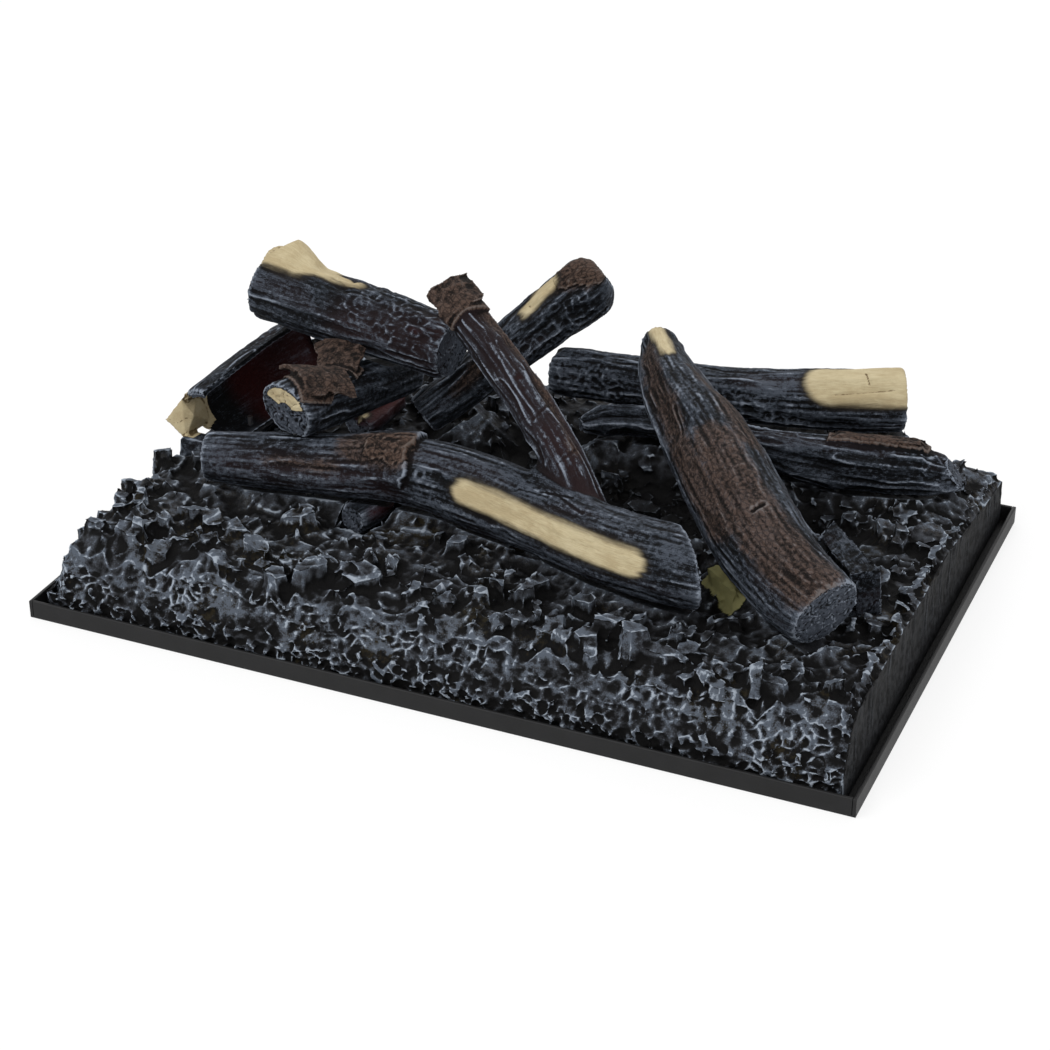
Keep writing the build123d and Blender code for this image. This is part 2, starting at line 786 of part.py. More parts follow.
# Wires inside the bed
def wire(places, bend):
    # each corner of the run is cut off by the bend
    points = [Vector(*place) for place in places]
    run = [points[0]]
    for before, corner, after in zip(points, points[1:], points[2:]):
        run.append(corner + (before - corner).normalized() * bend)
        run.append(corner + (after - corner).normalized() * bend)
    path = Polyline(*run, points[-1])
    section = Plane(origin=path @ 0, z_dir=path % 0) * RegularPolygon(wire_radius, wire_sides)
    return sweep(section, path, transition=Transition.RIGHT)


def harness_lane(name):
    order = list(boards).index(name)
    return -bed_half_length + bed_wall + wire_bend + order * (2 * wire_radius + clip_wall)


def board_harness(name):
    x, y, length = boards[name]
    start_y = driver_y - driver_width / 4 - list(boards).index(name) * (4 * wire_radius)
    left = driver_x - driver_length / 2
    lane = harness_lane(name)
    points = [(left, start_y, wire_height), (lane, start_y, wire_height),
              (lane, y, wire_height), (x - length / 2, y, wire_height)]
    return wire(points, wire_bend)


def rear_harness():
    x, y, length = boards["rear"]
    return wire([(driver_x + driver_length / 2, y, wire_height), (x - length / 2, y, wire_height)], wire_bend)


def harness_clips():
    lanes = [harness_lane(name) for name in ("front", "middle")]
    middle = sum(lanes) / 2
    width = lanes[1] - lanes[0] + 2 * wire_radius + 2 * clip_wall
    height = wire_height + wire_radius + clip_wall - floor_top
    clips = []
    for y_share in clip_y_shares:
        saddle = Pos(middle, y_share * bed_half_depth, floor_top + height / 2) * Box(width, clip_length, height)
        passage = Pos(middle, y_share * bed_half_depth, floor_top + (height - clip_wall) / 2) * Box(
            width - 2 * clip_wall + fit_gap, clip_length + overrun, height - clip_wall + fit_gap)
        clips.append(saddle - passage)
    return clips


# Rear panel with the supply gland and the rocker switch
def rear_panel():
    plate = Pos(panel_x, panel_y - sheet_thickness / 2, (floor_top + panel_height) / 2) * Box(
        panel_width, sheet_thickness, panel_height - floor_top)
    foot = Pos(panel_x, panel_y - panel_foot / 2, floor_top + sheet_thickness / 2) * Box(
        panel_width, panel_foot, sheet_thickness)
    bracket = plate + foot
    gland_hole = Pos(gland_x, panel_y, fitting_height) * Rot(90, 0, 0) * Cylinder(
        gland_neck_radius, 4 * sheet_thickness)
    switch_hole = Pos(switch_x, panel_y, fitting_height) * Box(
        switch_body_length + 2 * screw_clearance, 4 * sheet_thickness, switch_body_height + 2 * screw_clearance)
    bracket = bracket - gland_hole - switch_hole
    return bracket - [upright(x, y, 0, floor_top + 2 * sheet_thickness, small_screw_radius + screw_clearance)
                      for x, y in panel_screw_places()]


def panel_screw_places():
    reach = panel_width / 2 - 2 * small_head_radius
    return [(panel_x + sx * reach, panel_y - panel_foot / 2) for sx in (-1, 1)]


def supply_gland():
    outer_face = panel_y + gland_lip_thickness
    inner_face = panel_y - sheet_thickness
    back = inner_face - gland_inner_lip_thickness
    profile = Polyline(
        (gland_bore_radius, outer_face), (gland_lip_radius, outer_face), (gland_lip_radius, panel_y),
        (gland_neck_radius, panel_y), (gland_neck_radius, inner_face), (gland_inner_lip_radius, inner_face),
        (gland_neck_radius, back), (gland_bore_radius, back), (gland_bore_radius, outer_face))
    body = revolve(make_face(profile), Axis.Y)
    return Pos(gland_x, 0, fitting_height) * body


def pivot_y():
    return panel_y + switch_bezel - rocker_thickness + rocker_rise


def switch_body():
    bezel = Pos(switch_x, panel_y + switch_bezel / 2, fitting_height) * Box(
        switch_length, switch_bezel, switch_height)
    body = Pos(switch_x, panel_y - switch_body_depth / 2, fitting_height) * Box(
        switch_body_length, switch_body_depth, switch_body_height)
    pocket = Pos(switch_x, panel_y + switch_bezel - switch_pocket_depth / 2, fitting_height) * Box(
        rocker_length + 2 * rocker_side_clearance, switch_pocket_depth, rocker_height + 2 * rocker_side_clearance)
    bore = Pos(switch_x, pivot_y(), fitting_height) * Cylinder(
        rocker_pin_radius + rocker_pin_clearance,
        rocker_height + 2 * rocker_side_clearance + 2 * rocker_pin_length)
    return bezel + body - pocket - bore


def switch_rocker():
    half = rocker_length / 2
    low = -rocker_thickness / 2
    profile = Polyline((-half, low), (half, low), (half, rocker_rise), (0, rocker_rise / 2),
                       (-half, rocker_rise), (-half, low))
    block = extrude(make_face(profile), rocker_height / 2, both=True)
    pins = Cylinder(rocker_pin_radius, rocker_height + 2 * rocker_pin_length)
    return Pos(switch_x, pivot_y(), fitting_height) * Rot(0, 0, -rocker_tilt) * (block + pins)


def switch_terminals():
    back = panel_y - switch_body_depth
    return [Pos(switch_x + sx * blade_pitch / 2, back - blade_length / 2, fitting_height)
            * Box(blade_thickness, blade_length, blade_width) for sx in (-1, 1)]


def terminal_block():
    block = Pos(switch_x, terminal_y, floor_top + terminal_height / 2) * Box(
        terminal_length, terminal_width, terminal_height)
    block = chamfer(block.edges().filter_by(Axis.Y), terminal_bevel)
    return block - [upright(x, y, floor_top + terminal_height - terminal_screw_sink, terminal_height + overrun,
                            terminal_screw_radius + screw_clearance) for x, y in terminal_screw_places()]


def terminal_screw_places():
    return [(switch_x + sx * blade_pitch, terminal_y) for sx in (-1, 1)]


def terminal_screws():
    top = floor_top + terminal_height
    return [upright(x, y, top - terminal_screw_sink, top, terminal_screw_radius)
            for x, y in terminal_screw_places()]


def switch_harness():
    back = panel_y - switch_body_depth - blade_length
    face = terminal_y + terminal_width / 2
    low = floor_top + terminal_height / 2
    bend = wire_bend / 2
    wires = []
    for sx in (-1, 1):
        x = switch_x + sx * blade_pitch / 2
        wires.append(wire([(x, back, fitting_height), (x, (2 * back + face) / 3, fitting_height),
                           (x, (back + 2 * face) / 3, low), (x, face, low)], bend))
    return wires


def supply_wires():
    front = terminal_y - terminal_width / 2
    return [wire([(switch_x + sx * blade_pitch / 2, driver_y + driver_width / 2, wire_height),
                  (switch_x + sx * blade_pitch / 2, front, wire_height)], wire_bend) for sx in (-1, 1)]


def locating_posts():
    return [Pos(x, y, (floor_top + post_height) / 2)
            * Cone(post_radius, post_radius * post_taper_share, post_height - floor_top)
            for x, y in post_places()]


def short_log_dowel():
    x, y, low, high = dowel_span()
    return upright(x, y, low, high, pin_radius)


top_space = log_envelope("top_left", fit_gap)
lean_space = log_envelope("leaning", fit_gap)

nodes = {
    "base_tray": base_tray(),
    "bed_locating_posts": locating_posts(),
    "rear_panel": rear_panel(),
    "rear_panel_screws": [screw_down(x, y, floor_top, floor_top + sheet_thickness)
                          for x, y in panel_screw_places()],
    "supply_gland": supply_gland(),
    "switch_body": switch_body(),
    "switch_rocker": switch_rocker(),
    "switch_terminals": switch_terminals(),
    "switch_harness": switch_harness(),
    "terminal_block": terminal_block(),
    "terminal_screws": terminal_screws(),
    "supply_wires": supply_wires(),
    "driver_board": driver_board(),
    "driver_cover": driver_cover(),
    "driver_transformer": driver_transformer(),
    "driver_capacitors": driver_capacitors(),
    "driver_connectors": driver_connectors(),
    "driver_supports": [board_support(x, y) for x, y in driver_corners()],
    "led_harness_front": board_harness("front"),
    "led_harness_middle": board_harness("middle"),
    "led_harness_rear": rear_harness(),
    "harness_clips": harness_clips(),
    "ember_bed": ember_bed(),
    "back_log": fixed_log("back", lean_space),
    "right_log": fixed_log("right", log_solid("back", fit_gap)),
    "hollow_bark_log": fixed_log("hollow", top_space),
    "under_log_right": fixed_log("under_right", log_solid("front_right", fit_gap)),
    "under_log_left": fixed_log("under_left", log_solid("front", fit_gap)),
    "glow_log": fixed_log("glow", lean_space),
    "log_fixing_screws": [log_screw(*place) for _, *place in fixing_places(screwed_logs)],
    "log_locating_pins": [log_pin(*place) for _, *place in fixing_places(pinned_logs)],
    "front_log": front_log(),
    "left_short_log": left_short_log(),
    "short_log_dowel": short_log_dowel(),
    "top_left_log": log_solid("top_left"),
    "leaning_log": log_solid("leaning"),
    "front_right_log": front_right_log(),
}
for name in boards:
    nodes["led_board_" + name] = led_board(name)
    nodes["led_emitters_" + name] = led_emitters(name)
    nodes["led_supports_" + name] = [board_support(x, y) for x, y in board_support_places(name)]

for name, shape in nodes.items():
    solids = shape if isinstance(shape, list) else [shape]
    whole = Compound(children=[solid for piece in solids for solid in piece.solids()])
    export_step(whole, "parts/" + name + ".step")
print("moving axes:")
for name in ("top_left", "leaning"):
    (start, _), (end, _) = centre_points(name)
    print(name, (end - start).normalized())
print("rocker pivot", switch_x, pivot_y(), fitting_height)
print("gland", gland_x, panel_y, fitting_height)
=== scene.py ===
import json
from math import cos, pi, radians, sin
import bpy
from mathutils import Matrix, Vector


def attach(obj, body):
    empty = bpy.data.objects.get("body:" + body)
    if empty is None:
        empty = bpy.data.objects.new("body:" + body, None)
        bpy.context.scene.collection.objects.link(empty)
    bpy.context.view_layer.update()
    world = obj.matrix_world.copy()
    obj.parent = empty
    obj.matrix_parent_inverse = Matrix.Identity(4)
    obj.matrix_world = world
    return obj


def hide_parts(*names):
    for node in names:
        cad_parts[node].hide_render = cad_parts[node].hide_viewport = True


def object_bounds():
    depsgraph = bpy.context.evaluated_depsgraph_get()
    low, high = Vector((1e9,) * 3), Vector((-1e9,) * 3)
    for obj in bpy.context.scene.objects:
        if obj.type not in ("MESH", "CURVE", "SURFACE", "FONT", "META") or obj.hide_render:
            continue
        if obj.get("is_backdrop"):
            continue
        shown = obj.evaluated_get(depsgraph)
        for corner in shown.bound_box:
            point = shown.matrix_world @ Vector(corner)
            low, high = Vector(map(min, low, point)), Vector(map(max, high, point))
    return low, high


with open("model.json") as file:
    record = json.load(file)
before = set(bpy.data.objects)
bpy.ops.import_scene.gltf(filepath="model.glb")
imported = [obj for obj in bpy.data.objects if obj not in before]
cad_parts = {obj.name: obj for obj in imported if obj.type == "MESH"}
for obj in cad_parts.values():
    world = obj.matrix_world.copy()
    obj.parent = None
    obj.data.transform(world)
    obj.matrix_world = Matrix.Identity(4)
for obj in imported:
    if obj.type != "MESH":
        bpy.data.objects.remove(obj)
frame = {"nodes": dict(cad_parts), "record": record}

from types import SimpleNamespace
import bmesh
import bpy
import numpy as np
from mathutils import Matrix, Vector
from mathutils.bvhtree import BVHTree

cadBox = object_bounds()
collection = bpy.context.scene.collection
stack = {"halfLength": 0.290, "halfDepth": 0.199, "ridge": 0.058, "thickness": 0.060}
voxel = {"log": 0.00115, "bed": 0.00115}
replaced = set()

# camera first, then floor and lights
cameraRig = {"lens": 85, "film": 36, "elevation": 29.1677, "azimuth": 23.4494, "distance": 1.85345,
             "target": (-0.034638, 0.054545, 0.0)}


def facing(right, back, place):
    # frame of a camera or lamp: its own right and back, and where it stands
    over = np.cross(back, right)
    return Matrix([[right[k], over[k], back[k], place[k]] for k in range(3)] + [[0, 0, 0, 1]])


def placeCamera(rig):
    lift, turn = radians(rig["elevation"]), radians(rig["azimuth"])
    back = np.array([sin(turn) * cos(lift), -cos(turn) * cos(lift), sin(lift)])
    camera = bpy.data.objects.new("camera", bpy.data.cameras.new("camera"))
    camera.data.lens, camera.data.sensor_width = rig["lens"], rig["film"]
    eye = np.array(rig["target"]) + back * rig["distance"]
    camera.matrix_world = facing((cos(turn), sin(turn), 0), back, eye)
    collection.objects.link(camera)
    bpy.context.scene.camera = camera


placeCamera(cameraRig)
bpy.context.scene.view_settings.view_transform = "Standard"
print("camera placed")


class Field:
    # a socket of a material, so that shader sums read as sums
    def __init__(self, tree, socket=None):
        self.tree, self.socket = tree, socket

    def node(self, kind, settings={}, values={}, out=0):
        made = self.tree.nodes.new("ShaderNode" + kind)
        for name, value in settings.items():
            setattr(made, name, value)
        for name, value in values.items():
            if isinstance(value, Field):
                self.tree.links.new(value.socket, made.inputs[name])
            else:
                made.inputs[name].default_value = value
        return Field(self.tree, made.outputs[out])

    def sum(self, operation, first, second):
        return self.node("Math", {"operation": operation}, {0: first, 1: second})

    def __add__(self, other):
        return self.sum("ADD", self, other)

    def __radd__(self, other):
        return self.sum("ADD", other, self)

    def __sub__(self, other):
        return self.sum("SUBTRACT", self, other)

    def __rsub__(self, other):
        return self.sum("SUBTRACT", other, self)

    def __mul__(self, other):
        return self.sum("MULTIPLY", self, other)

    def __rmul__(self, other):
        return self.sum("MULTIPLY", other, self)

    def masks(self, *names):
        # fields saved on the mesh
        return [self.node("Attribute", {"attribute_name": name}, out=2) for name in names]

    def rise(self, low, high):
        # 0 below low, 1 above high, smooth between
        return self.node("MapRange", {"interpolation_type": "SMOOTHSTEP"},
                         {"Value": self, "From Min": low, "From Max": high})

    def blend(self, under, over):
        # colours under and over, mixed by this value
        tint = [colour if isinstance(colour, Field) else (*colour, 1) for colour in (under, over)]
        return self.node("Mix", {"data_type": "RGBA"}, {0: self, 6: tint[0], 7: tint[1]}, out=2)

    def spread(self, stretch):
        # this place in units of the stretch
        scale = [1 / size for size in stretch]
        return self.node("VectorMath", {"operation": "MULTIPLY"}, {0: self, 1: scale})

    def cracks(self, *stretch):
        # 0 along the borders of scattered cells as long as the stretch in metres
        return self.node("TexVoronoi", {"feature": "DISTANCE_TO_EDGE"},
                         {"Vector": self.spread(stretch), "Scale": 1.0})

    def noise(self, *stretch, layers=4.0):
        # random values whose features are as long as the stretch in metres
        stretch = stretch if len(stretch) == 3 else stretch * 3
        return self.node("TexNoise", {}, {"Vector": self.spread(stretch), "Scale": 1.0, "Detail": layers,
                                          "Roughness": 0.6})


def startMaterial(name, constants):
    material = bpy.data.materials.new(name)
    material.use_nodes = True
    shader = material.node_tree.nodes["Principled BSDF"]
    for socket, value in constants.items():
        shader.inputs[socket].default_value = value
    return material, Field(material.node_tree), shader


def feed(shader, bench, colour, rough, height, strength, deep):
    # colour, roughness and bumps as deep as given in metres
    normal = bench.node("Bump", {}, {"Strength": strength, "Distance": deep, "Height": height})
    for name, field in {"Base Color": colour, "Roughness": rough, "Normal": normal}.items():
        bench.tree.links.new(field.socket, shader.inputs[name])


# floor and light
studio = {"worldLight": 0.75, "floorColour": (0.9, 0.9, 0.9), "floorWhite": 0.8,
          "lamps": [("keyLamp", (-0.9, -1.5, 2.0), 1.5, 34), ("rightLamp", (2.0, -0.6, 1.3), 1.2, 12),
                    ("backLamp", (-0.4, 1.8, 1.6), 1.4, 16)]}


def seenWhite(bench):
    # 1 for what is seen directly, in a gloss or through glass
    seen, gloss, through = [bench.node("LightPath", out=f"Is {kind} Ray")
                            for kind in ("Camera", "Glossy", "Transmission")]
    return bench.sum("MAXIMUM", bench.sum("MAXIMUM", seen, gloss), through)


def makeStudio(settings):
    world = bpy.data.worlds.new("studioWorld")
    bpy.context.scene.world = world
    world.use_nodes = True
    bench, sky = Field(world.node_tree), world.node_tree.nodes["Background"]
    level = settings["worldLight"] + seenWhite(bench) * (1 - settings["worldLight"])
    bench.tree.links.new(level.socket, sky.inputs["Strength"])
    sky.inputs["Color"].default_value = (1, 1, 1, 1)
    bpy.ops.mesh.primitive_grid_add(x_subdivisions=2, y_subdivisions=2, size=12, location=(0, 0, -0.0006))
    floor = bpy.context.object
    floor.name = "studioFloor"
    material, bench, shader = startMaterial("studioFloorWhite", {"Roughness": 0.9,
                                                                "Base Color": (*settings["floorColour"], 1)})
    glow = bench.node("Emission", {}, {"Color": (1, 1, 1, 1), "Strength": 1.0})
    seen = bench.node("MixShader", {}, {0: seenWhite(bench) * settings["floorWhite"],
                                        1: Field(bench.tree, shader.outputs[0]), 2: glow})
    bench.tree.links.new(seen.socket, bench.tree.nodes["Material Output"].inputs[0])
    floor.data.materials.append(material)
    floor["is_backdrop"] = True
    for name, place, size, power in settings["lamps"]:
        lamp = bpy.data.objects.new(name, bpy.data.lights.new(name, "AREA"))
        lamp.data.size, lamp.data.energy = size, power
        back = np.array(place) / np.linalg.norm(place)
        right = np.cross((0, 0, 1), back)
        lamp.matrix_world = facing(right / np.linalg.norm(right), back, place)
        collection.objects.link(lamp)


makeStudio(studio)
print("studio lit")


# random fields for carving
def step(low, high, values):
    share = np.clip((values - low) / (high - low), 0, 1)
    return share * share * (3 - 2 * share)


def cellKey(order, cell):
    # a random number from 0 to 255 for each cell
    key = order[cell[:, 0] & 255]
    for k in (1, 2):
        key = order[(key + cell[:, k]) & 255]
    return key


def latticeNoise(points, seed):
    # smooth random values between 0 and 1 that change over about one unit
    dice = np.random.default_rng(seed)
    order, values = dice.permutation(256), dice.random(256)
    whole = np.floor(points).astype(np.int64)
    part = points - whole
    part = part * part * (3 - 2 * part)
    total = np.zeros(len(points))
    for corner in range(8):
        near = [corner >> k & 1 for k in range(3)]
        weight = 1.0
        for k in range(3):
            weight = weight * (part[:, k] if near[k] else 1 - part[:, k])
        total += weight * values[cellKey(order, whole + near)]
    return total


def layeredNoise(points, seed, layers=3):
    total, weight = 0.0, 0.0
    for k in range(layers):
        total = total + latticeNoise(points * 2 ** k, seed + k) / 2 ** k
        weight += 1 / 2 ** k
    return total / weight


def creases(points, seed):
    return 1 - np.abs(2 * latticeNoise(points, seed) - 1)


def cellNoise(points, seed):
    # distances to the nearest two of the scattered spots, one in each cell
    dice = np.random.default_rng(seed)
    order, scatter = dice.permutation(256), dice.random((256, 3))
    whole = np.floor(points).astype(np.int64)
    first, second = np.full((2, len(points)), 9.0)
    for offset in np.ndindex(3, 3, 3):
        cell = whole + offset - 1
        far = np.linalg.norm(points - cell - scatter[cellKey(order, cell)], axis=1)
        second = np.minimum(np.maximum(first, far), second)
        first = np.minimum(first, far)
    return first, second


# mesh helpers
class Shells:
    # closed shells that become one mesh
    def __init__(self):
        self.points, self.faces, self.total = [], [], 0

    def add(self, points, faces):
        self.points.append(points)
        self.faces += [[self.total + k for k in face] for face in faces]
        self.total += len(points)

    def makePiece(self, name, voxel):
        # one closed skin round all of them
        mesh = bpy.data.meshes.new(name)
        mesh.from_pydata(np.concatenate(self.points).tolist(), [], self.faces)
        piece = bpy.data.objects.new(name, mesh)
        collection.objects.link(piece)
        change = piece.modifiers.new("skin", "REMESH")
        change.mode, change.voxel_size = "VOXEL", voxel
        skinned = piece.evaluated_get(bpy.context.evaluated_depsgraph_get())
        piece.data = bpy.data.meshes.new_from_object(skinned)
        piece.modifiers.clear()
        bpy.data.meshes.remove(mesh)
        return piece


def readRows(source, key, width=3, kind=float):
    values = np.empty(len(source) * width, kind)
    source.foreach_get(key, values)
    return values.reshape(-1, width)


def readMesh(mesh):
    return (readRows(mesh.vertices, "co"), readRows(mesh.vertex_normals, "vector"),
            readRows(mesh.edges, "vertices", 2, np.int64))


def writePoints(mesh, points):
    mesh.vertices.foreach_set("co", points.ravel())
    mesh.update()


def neighbourMean(values, edges):
    count = np.bincount(edges.ravel(), minlength=len(values))
    total = [np.bincount(edges[:, 0], values[edges[:, 1], k], len(values))
             + np.bincount(edges[:, 1], values[edges[:, 0], k], len(values)) for k in range(values.shape[1])]
    return np.stack(total, 1) / np.maximum(count, 1)[:, None]


def relax(points, edges, weight, rounds):
    for _ in range(rounds):
        points = points + (neighbourMean(points, edges) - points) * weight[:, None]
    return points


def standingOut(mesh, rounds):
    # how far each point stands out from its surroundings, in metres, after so many rounds of smoothing
    points, normals, edges = readMesh(mesh)
    smoothed, found = points, []
    for k in range(max(rounds)):
        smoothed = neighbourMean(smoothed, edges)
        if k + 1 in rounds:
            found.append(((points - smoothed) * normals).sum(1))
    return found


def edgeField(mesh, rounds, weights):
    # dry brushing catches what stands out, and taken wide the same measure marks hollows for painted shade:
    # one half on the level, higher on ridges and edges
    total = 0.5
    for found, weight in zip(standingOut(mesh, rounds), weights):
        total = total + weight * found / max(np.percentile(found, 90), 1e-7)
    return np.clip(total, 0, 1)


def saveFields(mesh, fields):
    for name, values in fields.items():
        kind, key = ("FLOAT_VECTOR", "vector") if values.ndim == 2 else ("FLOAT", "value")
        mesh.attributes.new(name, kind, "POINT").data.foreach_set(key, values.ravel())


def hullOf(points):
    work = bmesh.new()
    for point in points:
        work.verts.new(point)
    found = bmesh.ops.convex_hull(work, input=work.verts[:])
    for unused in set(found["geom_interior"]) | set(found["geom_unused"]):
        if unused.is_valid and isinstance(unused, bmesh.types.BMVert):
            work.verts.remove(unused)
    work.verts.index_update()
    kept = np.array([vertex.co[:] for vertex in work.verts])
    faces = [[vertex.index for vertex in face.verts] for face in work.faces]
    work.free()
    return kept, faces


cubeCorners = np.array([[a, b, c] for a in (-1, 1) for b in (-1, 1) for c in (-1, 1)], float)


def chunkFrame(chunk):
    tip, turn = radians(chunk.get("tip", 0)), radians(chunk.get("turn", 0))
    tipped = np.array([[1, 0, 0], [0, cos(tip), -sin(tip)], [0, sin(tip), cos(tip)]])
    return np.array([[cos(turn), -sin(turn), 0], [sin(turn), cos(turn), 0], [0, 0, 1]]) @ tipped


def chunkPoints(chunk):
    # corners of an angular split chunk, tipped and turned in degrees round its middle, or given one by one
    if "corners" in chunk:
        return np.array(chunk["corners"])
    dice = np.random.default_rng(chunk["seed"])
    corners = cubeCorners * dice.uniform(0.65, 1.0, (8, 3)) * np.array(chunk["size"]) / 2
    return corners @ chunkFrame(chunk).T + chunk["at"]


def chunkField(points, chunk):
    # 1 on a chunk and just round it
    if "corners" in chunk:
        low, high = np.min(chunk["corners"], 0) - 0.001, np.max(chunk["corners"], 0) + 0.001
        return np.where(((points > low) & (points < high)).all(1), 1.0, 0.0)
    near = np.abs((points - chunk["at"]) @ chunkFrame(chunk)) / (np.array(chunk["size"]) / 2)
    return np.where(near.max(1) < 1.06, 1.0, 0.0)


# a log's centre line and the places round it
def splineThrough(marks, values, wanted):
    # natural cubic spline
    count, gap = len(marks), np.diff(marks)
    matrix, right = np.eye(count), np.zeros_like(values)
    for k in range(1, count - 1):
        matrix[k, k - 1:k + 2] = gap[k - 1], 2 * (gap[k - 1] + gap[k]), gap[k]
        right[k] = 6 * ((values[k + 1] - values[k]) / gap[k] - (values[k] - values[k - 1]) / gap[k - 1])
    bend = np.linalg.solve(matrix, right)
    k = np.clip(np.searchsorted(marks, wanted) - 1, 0, count - 2)
    before, after = ((marks[k + 1] - wanted) / gap[k])[:, None], ((wanted - marks[k]) / gap[k])[:, None]
    bent = (before ** 3 - before) * bend[k] + (after ** 3 - after) * bend[k + 1]
    return before * values[k] + after * values[k + 1] + bent * (gap[k] ** 2)[:, None] / 6


def followLog(shape):
    table = np.array(shape["knots"], float)
    unit = stack["halfLength"], stack["halfDepth"], stack["thickness"]
    places = table[:, :3] * unit + (0, 0, stack["ridge"])
    marks = np.r_[0, np.cumsum(np.linalg.norm(np.diff(places, axis=0), axis=1))]
    run = np.linspace(0, marks[-1], int(marks[-1] / 0.003) + 2)
    centre = splineThrough(marks, places, run)
    along = np.gradient(centre, axis=0)
    along /= np.linalg.norm(along, axis=1)[:, None]
    side = np.cross(along, (0, 0, 1))
    side /= np.linalg.norm(side, axis=1)[:, None]
    return SimpleNamespace(run=run, centre=centre, along=along, side=side, top=np.cross(side, along),
                           radius=np.interp(run, marks, table[:, 3] * stack["thickness"]), length=marks[-1])


def locate(line, points):
    # where each point lies along and round a log
    nearest = np.concatenate([((part[:, None] - line.centre[None]) ** 2).sum(2).argmin(1)
                              for part in np.array_split(points, len(points) // 20000 + 1)])
    ahead = ((points - line.centre[nearest]) * line.along[nearest]).sum(1)
    run = line.run[nearest] + ahead
    spaces = np.clip(run / line.run[1], 0, len(line.run) - 1.001)
    before, part = spaces.astype(int), (spaces % 1)[:, None]
    along, side, top, middle = [rows[before] * (1 - part) + rows[before + 1] * part
                                for rows in (line.along, line.side, line.top, line.centre)]
    centre = middle + along * (run - np.clip(run, 0, line.length))[:, None]
    spoke = points - centre
    spoke = spoke - along * (spoke * along).sum(1)[:, None]
    return SimpleNamespace(run=run, centre=centre, along=along, spoke=spoke, side=side, top=top,
                           reach=np.linalg.norm(spoke, axis=1), share=run / line.length,
                           angle=np.arctan2((spoke * side).sum(1), (spoke * top).sum(1)),
                           radius=np.interp(run, line.run, line.radius))


def turnFrom(spot, angle):
    # the way round from an angle in degrees, within half a turn either way
    return (spot.angle - radians(angle) + pi) % (2 * pi) - pi


def tubeShell(shape, line):
    # a round log, or an open curl of bark, with ends that may lean
    if "open" in shape:
        arc = np.radians(np.linspace(shape["open"][1], shape["open"][0] + 360, 60))
        angles, inset = np.r_[arc, arc[::-1]], np.r_[np.zeros(60), np.full(60, shape["shell"])]
    else:
        angles, inset = np.linspace(0, 2 * pi, 72, endpoint=False), np.zeros(72)
    over = (line.radius[:, None] - inset) * np.sin(angles)
    up = (line.radius[:, None] - inset) * np.cos(angles)
    first, last = shape.get("startLean", (0, 0)), shape.get("endLean", (0, 0))
    nearStart = np.clip(1 - line.run / 0.027, 0, 1)[:, None]
    nearEnd = np.clip(1 - (line.length - line.run) / 0.027, 0, 1)[:, None]
    slide = nearStart * (over * first[0] + up * first[1]) + nearEnd * (over * last[0] + up * last[1])
    rings = (line.centre[:, None] + line.side[:, None] * over[:, :, None]
             + line.top[:, None] * up[:, :, None] + line.along[:, None] * slide[:, :, None])
    count, rows = len(angles), len(rings)
    corner = lambda row, k: row * count + k % count
    faces = [(corner(row, k), corner(row, k + 1), corner(row + 1, k + 1), corner(row + 1, k))
             for row in range(rows - 1) for k in range(count)]
    faces += [[corner(0, k) for k in reversed(range(count))], [corner(rows - 1, k) for k in range(count)]]
    return rings.reshape(-1, 3), faces


def flakeFrame(line, flake):
    # middle of a flake's underside: centre line, outward, sideways and forward directions there
    run = np.clip(flake["share"] * line.length, 0, line.length)
    there = lambda rows: np.array([np.interp(run, line.run, rows[:, k]) for k in range(3)])
    side, top, forward = there(line.side), there(line.top), there(line.along)
    turn, twist = radians(flake["angle"]), radians(flake.get("twist", 0))
    out, over = side * sin(turn) + top * cos(turn), side * cos(turn) - top * sin(turn)
    centre = there(line.centre) + forward * (flake["share"] * line.length - run)
    return (centre, out, over * cos(twist) + forward * sin(twist), forward * cos(twist) - over * sin(twist),
            np.interp(run, line.run, line.radius))


def flakeLift(flake, s, t):
    # height over the log, which may rise along it or tip round it
    return flake["lift"] + flake.get("rise", 0) * s + flake.get("tip", 0) * t


def flakeShell(line, flake):
    # a curled plate of bark with a ragged outline, thin at its rim
    centre, out, over, along, radius = flakeFrame(line, flake)
    rows, columns = 30, 22
    s, t = np.meshgrid(np.linspace(-1, 1, rows), np.linspace(-1, 1, columns), indexing="ij")
    turn, level, seed = np.arctan2(t, s), np.zeros(s.size), flake["seed"]
    ring = np.stack([np.cos(turn).ravel() * 2.6, np.sin(turn).ravel() * 2.6, level], 1)
    ragged = 0.72 + 0.36 * layeredNoise(ring + seed, seed, 4).reshape(s.shape)
    curve = radius * flake["curl"]
    bow = t * ragged * flake["width"] / 2 / curve
    bumps = layeredNoise(np.stack([s.ravel() * 3, t.ravel() * 3, level], 1), seed + 5).reshape(s.shape)
    lift = flakeLift(flake, s, t) + 0.0030 * (bumps - 0.5)
    thick = flake["thick"] * (1 - 0.45 * np.maximum(np.abs(s), np.abs(t)) ** 3)
    direction = out * np.cos(bow)[..., None] + over * np.sin(bow)[..., None]
    middle = centre + out * (radius - curve) + along * (s * ragged * flake["length"] / 2)[..., None]
    upper = middle + direction * (curve + lift)[..., None]
    lower = upper - direction * thick[..., None]
    low = rows * columns
    faces = [(k, k + columns, k + columns + 1, k + 1)
             for r in range(rows - 1) for k in range(r * columns, r * columns + columns - 1)]
    faces += [(a + low, d + low, c + low, b + low) for a, b, c, d in faces]
    number = np.arange(low).reshape(rows, columns)
    rim = np.r_[number[:, 0], number[-1, 1:], number[-2::-1, -1], number[0, -2:0:-1]].tolist()
    faces += [(there, here, here + low, there + low) for here, there in zip(rim, rim[1:] + rim[:1])]
    return np.concatenate([upper.reshape(-1, 3), lower.reshape(-1, 3)]), faces


